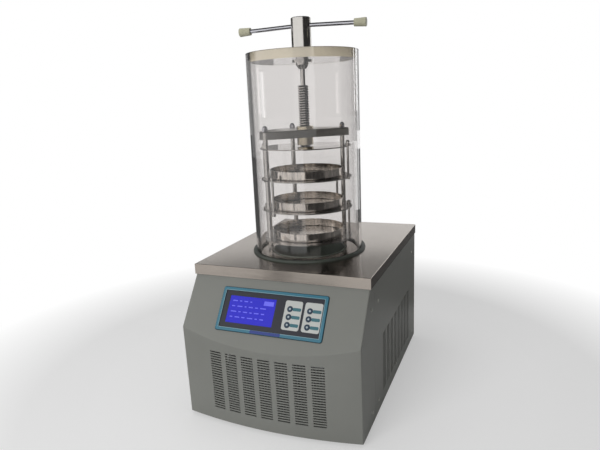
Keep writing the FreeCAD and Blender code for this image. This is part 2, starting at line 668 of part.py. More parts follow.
def front_panel():
    body = new_body("front_panel")
    far = "(knee_reach + bow_rise + front_gauge)"
    side = new_sketch(body, "YZ_Plane")
    outline(side, (("seam_setback", "0"), (f"-{far}", "0"),
                   (f"-{far}", f"slope_top - (panel_inset + {far}) * slope_drop / slope_run"),
                   ("panel_inset", "slope_top"), ("panel_inset", "flange_top"),
                   ("seam_setback", "flange_top")))
    pad(body, side, "2 * half_panels", both=True)
    bow = new_sketch(body, "XY_Plane", tilt="lean_angle")
    middle = "(bow_radius - (base_reach + bow_rise) * cos(lean_angle))"
    centred(bow, "bow_radius * 3", "bow_radius * 3", up=middle)
    circle(bow, "bow_radius", up=middle)
    pierce(body, bow)
    doc.recompute()
    base = body.Tip
    rear, low, high = size("seam_setback"), 0, size("flange_top")
    open_sides = [f"Face{number}" for number, face in enumerate(base.Shape.Faces, start=1)
                  if near(face.BoundBox.YMin, rear)
                  or (near(face.BoundBox.ZMin, low) and near(face.BoundBox.ZMax, low))
                  or (near(face.BoundBox.ZMin, high) and near(face.BoundBox.ZMax, high))]
    shell = body.newObject("PartDesign::Thickness", "front_panel_shell")
    shell.Base = (base, open_sides)
    shell.Reversed = True
    shell.Join = "Intersection"
    bind(shell, "Value", "front_gauge")
    reach, knee = size("half_panels"), size("knee_height")
    ease(body, "bend_radius", lambda line: (
        near(line.BoundBox.XLength, 2 * reach) and near(line.BoundBox.ZMax, knee))
        or (near(line.BoundBox.XLength, 0) and near(abs(line.BoundBox.XMax), reach)
            and (near(line.BoundBox.ZMin, knee) or near(line.BoundBox.ZMax, knee))))
    opening = new_sketch(body, "XY_Plane", tilt="slope_angle", rise="panel_inset",
                         lift="slope_top")
    centred(opening, "overlay_width - 2 * opening_margin",
            "overlay_height - 2 * opening_margin", up="-console_drop")
    pocket(body, opening, "front_gauge * 3")
    front_vents(body)
    holes = new_sketch(body, "YZ_Plane")
    for height in ("screw_low", "screw_high"):
        circle(holes, "screw_radius + screw_clearance", "wrap_screw_setback", height)
    pierce(body, holes)


SIDE_SCREWS = (("side_screw_front", "screw_low"), ("side_screw_front", "screw_high"),
               ("side_screw_middle", "screw_low"), ("side_screw_rear", "screw_low"),
               ("side_screw_rear", "screw_high"))
WRAP_SCREWS = (("wrap_screw_setback", "screw_low"), ("wrap_screw_setback", "screw_high"))
REAR_SCREWS = (("rear_screw_offset", "screw_low"), ("rear_screw_offset", "screw_high"),
               ("-rear_screw_offset", "screw_low"), ("-rear_screw_offset", "screw_high"))


def side_panel(label, inner_face):
    """One side panel, from its inner face outwards along X."""
    body = new_body(label)
    area = new_sketch(body, "YZ_Plane", lift=inner_face)
    rectangle(area, "seam_setback + panel_gap", "0",
              "plate_depth - panel_gauge - panel_gap", "flange_top")
    for setback, height in SIDE_SCREWS:
        circle(area, "screw_radius + screw_clearance", setback, height)
    pad(body, area, "panel_gauge")
    cut = new_sketch(body, "YZ_Plane", lift=inner_face)
    slot(cut, "vent_length", "vent_width", "side_vent_setback", "vent_floor")
    first = pierce(body, cut)
    grid(body, first, ("Y_Axis", "side_vent_columns", "vent_pitch_across"),
         ("Z_Axis", "vent_rows", "vent_pitch_up"))


def rear_panel():
    body = new_body("rear_panel")
    area = new_sketch(body, "XZ_Plane", lift="-plate_depth")
    rectangle(area, "-half_panels", "0", "half_panels", "flange_top")
    for across, height in REAR_SCREWS:
        circle(area, "screw_radius + screw_clearance", across, height)
    circle(area, "port_pipe_radius + panel_gap", up="cabinet_height - port_depth")
    circle(area, "stub_radius + panel_gap", up="drain_level")
    centred(area, "inlet_width + 2 * panel_gap", "inlet_height + 2 * panel_gap",
            "inlet_offset", "utility_height")
    centred(area, "switch_width + 2 * panel_gap", "switch_tall + 2 * panel_gap",
            "switch_offset", "utility_height")
    pad(body, area, "panel_gauge")
    cut = new_sketch(body, "XZ_Plane", lift="-plate_depth")
    slot(cut, "vent_length", "vent_width", "rear_vent_offset", "rear_vent_floor")
    first = pierce(body, cut)
    grid(body, first, ("X_Axis", "rear_vent_columns", "vent_pitch_across"),
         ("Z_Axis", "rear_vent_rows", "vent_pitch_up"))
    other = new_sketch(body, "XZ_Plane", lift="-plate_depth")
    slot(other, "vent_length", "vent_width",
         "-rear_vent_offset - vent_pitch_across * (rear_vent_columns - 1)", "rear_vent_floor")
    second = pierce(body, other)
    grid(body, second, ("X_Axis", "rear_vent_columns", "vent_pitch_across"),
         ("Z_Axis", "rear_vent_rows", "vent_pitch_up"))


def panel_screws():
    body = new_body("panel_screws")
    made = []
    for radius, length, start in (("screw_radius", "screw_length", "half_panels - screw_length"),
                                  ("screw_head_radius", "screw_head_height", "half_panels")):
        area = new_sketch(body, "YZ_Plane", lift=start)
        for setback, height in SIDE_SCREWS + WRAP_SCREWS:
            circle(area, radius, setback, height)
        made.append(pad(body, area, length))
    mirror(body, made)
    for radius, length, start in (("screw_radius", "screw_length", "-plate_depth + screw_length"),
                                  ("screw_head_radius", "screw_head_height", "-plate_depth")):
        area = new_sketch(body, "XZ_Plane", lift=start)
        for across, height in REAR_SCREWS:
            circle(area, radius, across, height)
        pad(body, area, length, reverse=True)
    tall = size("screw_head_radius") * 2
    ease(body, "screw_head_height / 2", lambda line: len(line.Vertexes) == 1
         and near(max(line.BoundBox.YLength, line.BoundBox.XLength), tall)
         and (near(abs(line.BoundBox.XMax), size("half_panels") + size("screw_head_height"))
              or near(line.BoundBox.YMax, size("plate_depth") + size("screw_head_height"))))


# ---------------------------------------------------------------- console
def rounded_plate(label, width, height, radius, gauge, up, across="0", lift="0"):
    """A plate on the slope with round corners; returns its body."""
    body = new_body(label, SLOPE, "slope_angle", X_AXIS)
    area = new_sketch(body, "XY_Plane", lift=lift)
    centred(area, width, height, across, up)
    pad(body, area, gauge)
    ease(body, radius, upright)
    return body


def control_frame():
    body = rounded_plate("control_frame", "console_width", "console_height",
                         "console_corner", "console_rim_height", "-console_drop")
    top = size("console_rim_height")
    ease(body, "console_rim_height / 3", lambda line: level(line, top))
    hollow = new_sketch(body, "XY_Plane")
    centred(hollow, "console_width - 2 * console_rim", "console_height - 2 * console_rim",
            up="-console_drop")
    pierce(body, hollow)


def key_places(plate):
    """Across and down formulas of the three keys of one key plate, 0 or 1."""
    across = f"key_plate_first + key_offset + key_plate_spacing * {plate}"
    return [(across, f"-key_drop + key_pitch * {row}") for row in (1, 0, -1)]


def keypad_overlay():
    body = new_body("keypad_overlay", SLOPE, "slope_angle", X_AXIS)
    area = new_sketch(body, "XY_Plane")
    centred(area, "overlay_width", "overlay_height", up="-console_drop")
    centred(area, "display_width + 2 * display_gap", "display_height + 2 * display_gap",
            "display_offset", "-console_drop")
    for place_of_key in key_places(0) + key_places(1):
        circle(area, "key_radius + key_gap", *place_of_key)
    pad(body, area, "overlay_gauge")


def key_plates():
    body = new_body("key_plates", SLOPE, "slope_angle", X_AXIS)
    for plate in (0, 1):
        area = new_sketch(body, "XY_Plane", lift="overlay_gauge")
        centred(area, "key_plate_width", "key_plate_height",
                f"key_plate_first + key_plate_spacing * {plate}", "-console_drop")
        pad(body, area, "key_plate_gauge")
    ease(body, "key_plate_corner", upright)
    holes = new_sketch(body, "XY_Plane")
    for place_of_key in key_places(0) + key_places(1):
        circle(holes, "key_radius + key_gap", *place_of_key)
    pierce(body, holes)


def push_keys():
    numbered = enumerate(key_places(0) + key_places(1), start=1)
    top = "overlay_gauge + key_plate_gauge + key_proud"
    flange = "-thrust_gap"
    stem = "board_back + board_gauge + switch_height + key_travel + thrust_gap / 3"
    for number, (across, up) in numbered:
        body = new_body(f"key_{number}", SLOPE, "slope_angle", X_AXIS)
        profile = new_sketch(body, "XZ_Plane", shift=across, lift=f"-({up})")
        outline(profile, (("0", stem), ("key_stem_radius", stem),
                          ("key_stem_radius", f"{flange} - key_flange_gauge"),
                          ("key_radius + key_flange", f"{flange} - key_flange_gauge"),
                          ("key_radius + key_flange", flange), ("key_radius", flange),
                          ("key_radius", f"{top} - key_proud / 2"),
                          ("key_radius - key_proud / 2", top), ("0", top)))
        revolve(body, profile)


def display_module():
    body = new_body("display_module", SLOPE, "slope_angle", X_AXIS)
    glass = new_sketch(body, "XY_Plane", lift="-panel_gap")
    centred(glass, "display_width", "display_height", "display_offset", "-console_drop")
    pad(body, glass, "panel_gap + overlay_gauge - display_recess")
    housing = new_sketch(body, "XY_Plane", lift="-panel_gap")
    centred(housing, "display_width + 2 * display_border",
            "display_height + 2 * display_border", "display_offset", "-console_drop")
    pad(body, housing, "display_depth", reverse=True)


def controller_board():
    body = new_body("controller_board", SLOPE, "slope_angle", X_AXIS)
    wide = "overlay_width - 2 * opening_margin + 2 * standoff_radius * 3"
    board = new_sketch(body, "XY_Plane", lift="board_back")
    centred(board, wide, "board_height", up="-console_drop")
    pad(body, board, "board_gauge")
    switches = new_sketch(body, "XY_Plane", lift="board_back + board_gauge")
    for across, up in key_places(0) + key_places(1):
        centred(switches, "switch_side", "switch_side", across, up)
    pad(body, switches, "switch_height")
    standoffs = new_sketch(body, "XY_Plane", lift="board_back + board_gauge")
    for side in ("", "-"):
        for half in ("", "-"):
            circle(standoffs, "standoff_radius", f"{side}(({wide}) / 2 - standoff_radius)",
                   f"-console_drop + {half}(board_height / 2 - standoff_radius)")
    pad(body, standoffs, "board_depth - board_gauge - front_gauge")


# ---------------------------------------------------------------- chamber
def seal_ring():
    bore = "tube_radius - tube_wall - seal_inner"
    inner = "tube_radius + seal_gap"
    turned("seal_ring", CHAMBER, (
        (bore, "0"), ("seal_radius", "0"), ("seal_radius - seal_slope", "seal_height"),
        (inner, "seal_height"), (inner, "seal_floor"), (bore, "seal_floor")))


def chamber_tube():
    body = turned("chamber_tube", CHAMBER, (
        ("tube_radius - tube_wall", "seal_floor"), ("tube_radius", "seal_floor"),
        ("tube_radius", "tube_top"), ("tube_radius - tube_wall", "tube_top")))
    top = size("tube_top")
    ease(body, "thrust_gap", lambda line: level(line, top), "Chamfer")


def chamber_lid():
    edge = "tube_radius - tube_wall - lid_gap"
    turned("chamber_lid", CHAMBER, (
        ("gland_radius", "lid_floor"), (edge, "lid_floor"), (edge, "tube_top"),
        ("gland_radius", "tube_top")))


def shaft_gland():
    bore = "shaft_radius + running_gap"
    foot = "lid_floor - gland_flange_height"
    turned("shaft_gland", CHAMBER, (
        (bore, foot), ("gland_flange_radius", foot), ("gland_flange_radius", "lid_floor"),
        ("gland_radius", "lid_floor"), ("gland_radius", "tube_top + gland_proud"),
        (bore, "tube_top + gland_proud")))


def gland_nut():
    bore = "shaft_radius + running_gap"
    top = "lid_floor - gland_flange_height"
    shoulder = f"{top} - gland_nut_height"
    foot = f"{shoulder} - gland_cone_height"
    turned("gland_nut", CHAMBER, (
        (bore, foot), ("gland_cone_radius", foot), ("gland_nut_radius - 1", shoulder),
        ("gland_nut_radius", f"{shoulder} + 1"), ("gland_nut_radius", top), (bore, top)))


def arm_axis(label, kind, side, start):
    """A cylinder or cone that lies along one drooping arm of a handle that hasn't been
    turned, about the hub's own axis: side is 1 or -1."""
    made = doc.addObject("Part::" + kind, label)
    place(made, (f"{side} * ({start}) * cos(arm_droop)", "0",
                 f"plate_top + arm_height - ({start}) * sin(arm_droop)"),
          f"{side} * (90 + arm_droop)", Y_AXIS)
    return made


def handle_arms():
    arms = []
    for side, name in ((1, "right"), (-1, "left")):
        arm = arm_axis(f"{name}_arm", "Cylinder", side, "arm_root")
        bind(arm, "Radius", "arm_radius")
        bind(arm, "Height", "cap_start + cap_length - cap_end_wall - arm_root")
        arms.append(arm)
    group = doc.addObject("Part::Compound", "handle_arms")
    group.Links = arms
    place(group, ("0", "tube_y", "0"), "handle_angle")
    return subpart(group, "handle_arms")


def handle_caps(arms):
    cones = []
    for side, name in ((1, "right"), (-1, "left")):
        cone = arm_axis(f"{name}_cap_cone", "Cone", side, "cap_start")
        bind(cone, "Radius1", "cap_neck_radius")
        bind(cone, "Radius2", "cap_end_radius")
        bind(cone, "Height", "cap_length")
        doc.recompute()
        rounded = doc.addObject("Part::Fillet", f"{name}_cap_rounded")
        rounded.Base = cone
        widest = max(range(len(cone.Shape.Edges)),
                     key=lambda number: cone.Shape.Edges[number].Length)
        rounded.Edges = [(widest + 1, size("cap_rounding"), size("cap_rounding"))]
        cones.append(rounded)
    both = doc.addObject("Part::Compound", "cap_cones")
    both.Links = cones
    place(both, ("0", "tube_y", "0"), "handle_angle")
    caps = doc.addObject("Part::Cut", "handle_caps")
    caps.Base = both
    caps.Tool = arms
    return subpart(caps, "handle_caps")


def handle_hub(arms):
    blank = doc.addObject("PartDesign::Body", "hub_blank")
    place(blank, CHAMBER)
    profile = new_sketch(blank, "XZ_Plane")
    top = "hub_floor + hub_height"
    outline(profile, (("shaft_radius", "hub_floor"), ("hub_radius", "hub_floor"),
                      ("hub_radius", f"{top} - hub_chamfer"),
                      ("hub_radius - hub_chamfer", top), ("0", top), ("0", "shaft_top"),
                      ("shaft_radius", "shaft_top")))
    revolve(blank, profile)
    hub = doc.addObject("Part::Cut", "handle_hub")
    hub.Base = blank
    hub.Tool = arms
    return subpart(hub, "handle_hub")


def drive_shaft():
    body = new_body("drive_shaft", CHAMBER)
    step = "screw_top + running_gap * 20"
    round_part = new_sketch(body, "XY_Plane", lift=step)
    circle(round_part, "shaft_radius")
    pad(body, round_part, f"shaft_top - ({step})")
    key = new_sketch(body, "XY_Plane", lift="shaft_foot")
    hexagon(key, "shaft_hex")
    pad(body, key, f"{step} - shaft_foot")


# ---------------------------------------------------------------- rack
def press_screw():
    body = new_body("press_screw", CHAMBER)
    foot = "press_top - disc_gauge - thrust_gap - retainer_height"
    profile = new_sketch(body, "XZ_Plane")
    outline(profile, (("0", foot), ("journal_radius", foot), ("journal_radius", "screw_foot"),
                      ("screw_major_radius", "screw_foot"),
                      ("screw_major_radius", "screw_top - screw_chamfer"),
                      ("screw_major_radius - screw_chamfer", "screw_top"), ("0", "screw_top")))
    revolve(body, profile)
    socket = new_sketch(body, "XY_Plane", lift="screw_top")
    hexagon(socket, "shaft_hex + 2 * socket_gap")
    pocket(body, socket, "shaft_engagement + socket_spare")


def screw_retainer():
    top = "press_top - disc_gauge - thrust_gap"
    foot = f"{top} - retainer_height"
    turned("screw_retainer", CHAMBER, (
        ("journal_radius", foot), ("retainer_radius - 1", foot),
        ("retainer_radius", f"{foot} + 1"), ("retainer_radius", top),
        ("journal_radius", top)))


def screw_nut():
    bore = "screw_major_radius + running_gap"
    foot = "rack_plate_floor - boss_height"
    face = "rack_plate_floor + rack_plate_height"
    top = f"{face} + nut_flange_height"
    turned("screw_nut", CHAMBER, (
        (bore, foot), ("nut_neck_radius", foot), ("nut_neck_radius", face),
        ("nut_flange_radius", face), ("nut_flange_radius", f"{top} - 1"),
        ("nut_flange_radius - 1", top), (bore, top)))


def rack_top_plate():
    foot = "rack_plate_floor - boss_height"
    top = "rack_plate_floor + rack_plate_height"
    body = turned("rack_top_plate", CHAMBER, (
        ("nut_neck_radius", foot), ("boss_radius", foot), ("boss_radius", "rack_plate_floor"),
        ("rack_plate_radius", "rack_plate_floor"), ("rack_plate_radius", top),
        ("nut_neck_radius", top)), "rack_turn")
    front = new_sketch(body, "XY_Plane", lift=top)
    rectangle(front, "-rack_plate_radius - 1", "-rack_plate_radius - 1",
              "rack_plate_radius + 1", "-rack_plate_front")
    pocket(body, front, "rack_plate_height")
    front_line = -size("rack_plate_front")
    ease(body, "rack_plate_corner", lambda line: upright(line)
         and near(line.BoundBox.YMin, front_line))
    face = size("rack_plate_floor") + size("rack_plate_height")
    bore = size("nut_neck_radius")
    ease(body, "rack_plate_edge", lambda line: level(line, face)
         and line.Vertexes[0].Point.distanceToPoint(Vector(0, 0, face)) > bore + 1, "Chamfer")
    holes = new_sketch(body, "XY_Plane", lift=top)
    circle(holes, "column_stud_radius", "column_circle")
    around(body, pierce(body, holes), "3", "180")


def rack_columns():
    collar = "lower_shelf_top - disc_gauge"
    stud = "rack_plate_floor + rack_plate_height + column_stud_length"
    body = turned("rack_columns", CHAMBER, (
        ("0", "0"), ("column_radius", "0"), ("column_radius", f"{collar} - column_collar_height"),
        ("column_collar_radius", f"{collar} - column_collar_height"),
        ("column_collar_radius", collar), ("column_radius", collar),
        ("column_radius", "rack_plate_floor"), ("column_stud_radius", "rack_plate_floor"),
        ("column_stud_radius", stud), ("0", stud)), "rack_turn", offset="column_circle")
    around(body, body.Tip, "3", "180")


def column_nuts():
    body = new_body("column_nuts", CHAMBER, "rack_turn")
    seat = "rack_plate_floor + rack_plate_height"
    hexes = new_sketch(body, "XY_Plane", lift=seat, shift="column_circle")
    hexagon(hexes, "dome_nut_flats")
    nut = pad(body, hexes, "dome_nut_hex_height")
    dome = new_sketch(body, "XZ_Plane", shift="column_circle")
    step = f"{seat} + dome_nut_hex_height"
    reach = "dome_nut_dome_radius"
    outline(dome, [("0", f"{step} - {reach} / 2"), (reach, f"{step} - {reach} / 2")]
            + [(f"{reach} * cos({turn})", f"{step} + {reach} * sin({turn})")
               for turn in (0, 18, 36, 54, 72)] + [("0", f"{step} + {reach}")])
    crown = revolve(body, dome)
    bore = new_sketch(body, "XY_Plane", lift=seat, shift="column_circle")
    circle(bore, "column_stud_radius")
    hole = pocket(body, bore, "column_stud_length", reverse=True)
    pattern = around(body, nut, "3", "180")
    pattern.Originals = [nut, crown, hole]


def disc(label, top, fixed_pins, sliding_pins, column_gap, middle=None):
    """A press plate or shelf with holes for the columns and its hanger pins."""
    body = new_body(label, CHAMBER, "rack_turn")
    plate = new_sketch(body, "XY_Plane", lift=top)
    circle(plate, "disc_radius")
    if middle is not None:
        circle(plate, middle)
    for turn in (0, 90, 180):
        circle(plate, f"column_radius + {column_gap}", f"column_circle * cos({turn})",
               f"column_circle * sin({turn})")
    for turn, radius in ((fixed_pins, "hanger_radius"),
                         (sliding_pins, "hanger_radius + hanger_gap")):
        if turn is not None:
            for half in (0, 180):
                circle(plate, radius, f"hanger_circle * cos({turn} + {half})",
                       f"hanger_circle * sin({turn} + {half})")
    pad(body, plate, "disc_gauge", reverse=True)


def hangers(label, top, turn):
    """Two headed pins fixed in one disc, each with a stop under the next disc down."""
    stop = f"{top} - shelf_pitch - disc_gauge"
    body = turned(label, CHAMBER, (
        ("0", f"{stop} - hanger_head_height"), ("hanger_head_radius", f"{stop} - hanger_head_height"),
        ("hanger_head_radius", stop), ("hanger_radius", stop), ("hanger_radius", top),
        ("hanger_head_radius", top), ("hanger_head_radius", f"{top} + hanger_head_height - 2"),
        ("hanger_head_radius - 2", f"{top} + hanger_head_height"),
        ("0", f"{top} + hanger_head_height")), f"rack_turn + {turn}", offset="hanger_circle")
    around(body, body.Tip, "2")


def tray(label, floor):
    """One round drying tray that stands on a shelf."""
    turned(label, CHAMBER, (
        ("0", floor), ("tray_radius - 2 * tray_wall", floor),
        ("tray_radius", f"{floor} + 2 * tray_wall"),
        ("tray_radius", f"{floor} + tray_height - tray_bead_height"),
        ("tray_radius + tray_bead", f"{floor} + tray_height - tray_bead_height"),
        ("tray_radius + tray_bead", f"{floor} + tray_height - tray_wall / 2"),
        ("tray_radius", f"{floor} + tray_height"),
        ("tray_radius - tray_wall", f"{floor} + tray_height"),
        ("tray_radius - tray_wall", f"{floor} + 2.4 * tray_wall"),
        ("tray_radius - 2.4 * tray_wall", f"{floor} + tray_wall"), ("0", f"{floor} + tray_wall")))


# ---------------------------------------------------------------- cold trap
def trap_vessel():
    outer = "trap_radius + trap_wall"
    floor = "-trap_depth - trap_wall"
    body = turned("trap_vessel", CHAMBER, (
        ("stub_radius - drain_wall", f"{floor} - stub_length"),
        ("stub_radius", f"{floor} - stub_length"), ("stub_radius", floor), (outer, floor),
        (outer, "0"), ("trap_flange_radius", "0"), ("trap_flange_radius", "trap_wall"),
        ("trap_radius", "trap_wall"), ("trap_radius", "-trap_depth"),
        ("stub_radius - drain_wall", "-trap_depth")))
    outlet = new_sketch(body, "XZ_Plane")
    circle(outlet, "port_pipe_radius + running_gap", up="-port_depth")
    pierce(body, outlet, both=False)


def evaporator_coil():
    rings = []
    for turn in range(int(size("coil_turns"))):
        ring = doc.addObject("Part::Torus", f"coil_ring_{turn + 1}")
        bind(ring, "Radius1", "coil_radius")
        bind(ring, "Radius2", "coil_tube_radius")
        place(ring, ("0", "tube_y", f"plate_top - coil_start - coil_pitch * {turn}"), "90")
        rings.append(ring)
    for side, name in ((1, "suction"), (-1, "liquid")):
        tail = doc.addObject("Part::Cylinder", f"coil_{name}_tail")
        bind(tail, "Radius", "coil_header_radius")
        bind(tail, "Height", "coil_tail - coil_start")
        place(tail, (f"{side} * coil_radius", "tube_y", "plate_top - coil_tail"), "45")
        rings.append(tail)
    coil = doc.addObject("Part::MultiFuse", "evaporator_coil")
    coil.Shapes = rings
    return subpart(coil, "evaporator_coil")


def trap_insulation():
    outer = "jacket_bore + jacket_wall"
    floor = "-trap_depth - trap_wall - coil_tube_radius"
    hole = "stub_radius + trap_wall"
    body = turned("trap_insulation", CHAMBER, (
        (hole, f"{floor} - jacket_floor"), (outer, f"{floor} - jacket_floor"),
        (outer, "-plate_gauge"), ("jacket_bore", "-plate_gauge"), ("jacket_bore", floor),
        (hole, floor)))
    outlet = new_sketch(body, "XZ_Plane")
    circle(outlet, "port_pipe_radius + running_gap", up="-port_depth")
    pierce(body, outlet, both=False)
    passage = new_sketch(body, "XZ_Plane")
    rectangle(passage, "-port_pipe_radius - running_gap", "-port_depth",
              "port_pipe_radius + running_gap", "0")
    pierce(body, passage, both=False)
    tails = new_sketch(body, "XY_Plane")
    for side in ("", "-"):
        circle(tails, "coil_header_radius + jacket_gap", f"{side}coil_radius")
    pierce(body, tails, both=False)


def vacuum_port():
    wall_face = "plate_depth - tube_setback"
    inner = "port_pipe_radius - port_wall"
    start = "trap_radius + 0.6 * trap_wall"
    end = f"{wall_face} + port_reach"
    turned("vacuum_port", ("0", "tube_y", "plate_top - port_depth"), (
        (inner, start), ("port_pipe_radius", start), ("port_pipe_radius", wall_face),
        ("port_collar_radius", wall_face),
        ("port_collar_radius", f"{wall_face} + port_collar_length"),
        ("port_radius", f"{wall_face} + port_collar_length"), ("port_radius", end),
        (inner, end)), "-90", X_AXIS)


def drain_valve():
    inner = "valve_spout_radius - valve_spout_wall"
    body_start = "valve_collar_length"
    body_end = f"{body_start} + valve_body_length"
    body = turned("drain_valve", ("0", "plate_front + plate_depth", "foot_height + drain_level"), (
        (inner, "0"), ("valve_collar_radius", "0"), ("valve_collar_radius", body_start),
        ("valve_body_radius", body_start), ("valve_body_radius", body_end),
        ("valve_spout_radius", body_end), ("valve_spout_radius", "port_reach"),
        (inner, "port_reach")), "-90", X_AXIS)
    stem = new_sketch(body, "XZ_Plane", lift="valve_spout_radius")
    circle(stem, "lever_stem_radius + running_gap", up="valve_collar_length + valve_body_length / 2")
    pierce(body, stem, both=False, reverse=True)


def drain_lever():
    body = new_body("drain_lever", (
        "0", "plate_front + plate_depth + valve_collar_length + valve_body_length / 2",
        "foot_height + drain_level"))
    stem = new_sketch(body, "XY_Plane", lift="valve_spout_radius + thrust_gap")
    circle(stem, "lever_stem_radius")
    pad(body, stem, "lever_rise - valve_spout_radius - thrust_gap")
    arm = new_sketch(body, "XY_Plane", lift="lever_rise")
    rectangle(arm, "-lever_width / 2", "-lever_width / 2", "lever_length", "lever_width / 2")
    pad(body, arm, "lever_gauge")
    ease(body, "lever_width / 3", upright)


# ---------------------------------------------------------------- pipes
def bent_path(corners, bend):
    """Straight runs through the corners, joined by tangent arcs of one radius."""
    edges = []
    start = corners[0]
    for before, here, after in zip(corners, corners[1:], corners[2:]):
        back = (before - here).normalize()
        ahead = (after - here).normalize()
        half = back.getAngle(ahead) / 2
        trim = bend / math.tan(half)
        middle = here + (back + ahead).normalize() * (bend / math.sin(half) - bend)
        edges.append(Part.LineSegment(start, here + back * trim).toShape())
        edges.append(Part.Arc(here + back * trim, middle, here + ahead * trim).toShape())
        start = here + ahead * trim
    edges.append(Part.LineSegment(start, corners[-1]).toShape())
    return Part.Wire(edges)


def swept(path, radius):
    """A round rod along a path."""
    first = path.Edges[0]
    start = first.valueAt(first.FirstParameter)
    ahead = first.tangentAt(first.FirstParameter)
    ring = Part.Wire(Part.Circle(start, ahead, radius).toShape())
    return path.makePipeShell([ring], True, False)


def drain_pipe():
    floor = size("plate_top") - size("trap_depth") - size("trap_wall") - size("stub_length")
    level_run = size("foot_height") + size("drain_level")
    rear = size("plate_front") + size("plate_depth")
    middle = Vector(0, size("tube_y"), 0)
    corners = [middle + Z_AXIS * floor, middle + Z_AXIS * level_run,
               Vector(0, rear, level_run)]
    path = bent_path(corners, size("drain_bend"))
    bore = size("stub_radius") - size("drain_wall")
    pipe = doc.addObject("Part::Feature", "drain_pipe")
    pipe.Shape = swept(path, size("stub_radius")).cut(swept(path, bore))
    pipe.Placement = Placement()
    return subpart(pipe, "drain_pipe")


def refrigerant_pipes():
    ground = size("foot_height")
    front = size("plate_front")
    radius = size("pipe_radius")
    bend = size("pipe_bend")
    tail_level = size("plate_top") - size("coil_tail")
    axis_y = size("tube_y")
    coil = size("coil_radius")
    shell_x = size("compressor_offset")
    shell_y = front + size("compressor_setback")
    condenser_side = size("condenser_width") / 2
    condenser_rear = front + size("condenser_setback") + size("condenser_depth")
    low = ground + size("fan_height") / 2
    high = ground + size("condenser_height") * 0.9
    outside = condenser_side + 2 * bend
    # hot gas, from the shell's lower side round the left to the condenser's top
    hot = [Vector(shell_x - size("compressor_radius"), shell_y, low + 2 * bend),
           Vector(-outside - bend, shell_y, low + 2 * bend),
           Vector(-outside - bend, condenser_rear + 2 * bend, high),
           Vector(-condenser_side + bend, condenser_rear + 2 * bend, high),
           Vector(-condenser_side + bend, condenser_rear, high)]
    # liquid, from the condenser's foot through the drier to the coil's left tail
    drier_y = axis_y - size("drier_length") / 2
    liquid_x = -coil - 2.5 * bend
    start = [Vector(-condenser_side + 2 * bend, condenser_rear, low),
             Vector(-condenser_side + 2 * bend, condenser_rear + 2 * bend, low),
             Vector(liquid_x, condenser_rear + 2 * bend, low),
             Vector(liquid_x, drier_y, low)]
    finish = [Vector(liquid_x, drier_y + size("drier_length"), low),
              Vector(liquid_x, axis_y + size("drier_length"), low),
              Vector(-coil, axis_y + size("drier_length"), low),
              Vector(-coil, axis_y, low), Vector(-coil, axis_y, tail_level)]
    # suction, from the coil's right tail back to the shell's dome
    # it crosses over the drain's level run
    drain_top = ground + size("drain_level") + size("stub_radius")
    over = max(tail_level - 2 * bend, drain_top + radius + 1.5)
    suction = [Vector(coil, axis_y, tail_level), Vector(coil, axis_y, over),
               Vector(coil, shell_y, over),
               Vector(shell_x + size("compressor_radius"), shell_y, over)]
    drier = Part.makeCylinder(size("drier_radius"), size("drier_length"),
                              Vector(liquid_x, drier_y, low), Y_AXIS)
    runs = [swept(bent_path(corners, bend), radius) for corners in (hot, start, finish, suction)]
    pipes = doc.addObject("Part::Feature", "refrigerant_pipes")
    pipes.Shape = Part.makeCompound(runs + [drier])
    pipes.Placement = Placement()
    return subpart(pipes, "refrigerant_pipes")


# ---------------------------------------------------------------- machinery
def compressor():
    radius = "compressor_radius"
    seam = "compressor_height * 0.58"
    body = turned("compressor", (
        "compressor_offset", "plate_front + compressor_setback", "foot_height + panel_gauge"), (
        ("0", "0"), (f"{radius} * 0.8", "0"), (f"{radius} * 0.95", "compressor_height * 0.05"),
        (radius, "compressor_height * 0.14"), (radius, seam),
        (f"{radius} + compressor_seam", seam),
        (f"{radius} + compressor_seam", f"{seam} + 2 * compressor_seam"),
        (radius, f"{seam} + 2 * compressor_seam"), (radius, "compressor_height * 0.78"),
        (f"{radius} * 0.86", "compressor_height * 0.92"),
        (f"{radius} * 0.5", "compressor_height"), ("0", "compressor_height")))
    base = new_sketch(body, "XY_Plane")
    centred(base, "compressor_base", "compressor_base")
    pad(body, base, "compressor_seam")


def condenser_coil():
    body = new_body("condenser_coil", (
        "0", "plate_front + condenser_setback", "foot_height + panel_gauge"))
    block = new_sketch(body, "XY_Plane")
    rectangle(block, "-condenser_width / 2", "0", "condenser_width / 2", "condenser_depth")
    pad(body, block, "condenser_height")
    gap = new_sketch(body, "XY_Plane", lift="fin_gap")
    rectangle(gap, "-fin_pitch * (fin_count - 1) / 2 - fin_gap / 2", "-fin_gap",
              "-fin_pitch * (fin_count - 1) / 2 + fin_gap / 2", "fin_depth")
    first = pocket(body, gap, "condenser_height - 2 * fin_gap", reverse=True)
    grid(body, first, ("X_Axis", "fin_count", "fin_pitch"))


def fan_blades():
    body = turned("fan_blades", ("0", "plate_front + fan_setback", "foot_height + fan_height"), (
        ("0", "0"), ("fan_hub_radius - 3", "0"), ("fan_hub_radius", "3"),
        ("fan_hub_radius", "fan_hub_length"), ("motor_shaft_radius", "fan_hub_length"),
        ("motor_shaft_radius", "fan_hub_length + motor_gap + motor_shaft_depth"),
        ("0", "fan_hub_length + motor_gap + motor_shaft_depth")), "-90", X_AXIS)
    blade = new_sketch(body, "XZ_Plane", tilt="blade_pitch", rise="fan_hub_length / 2",
                       lift="-blade_gauge / 2")
    rectangle(blade, "fan_hub_radius * 0.7", "-blade_width / 2 * 0.8",
              "fan_radius", "blade_width / 2 * 0.8")
    around(body, pad(body, blade, "blade_gauge"), "blade_count")


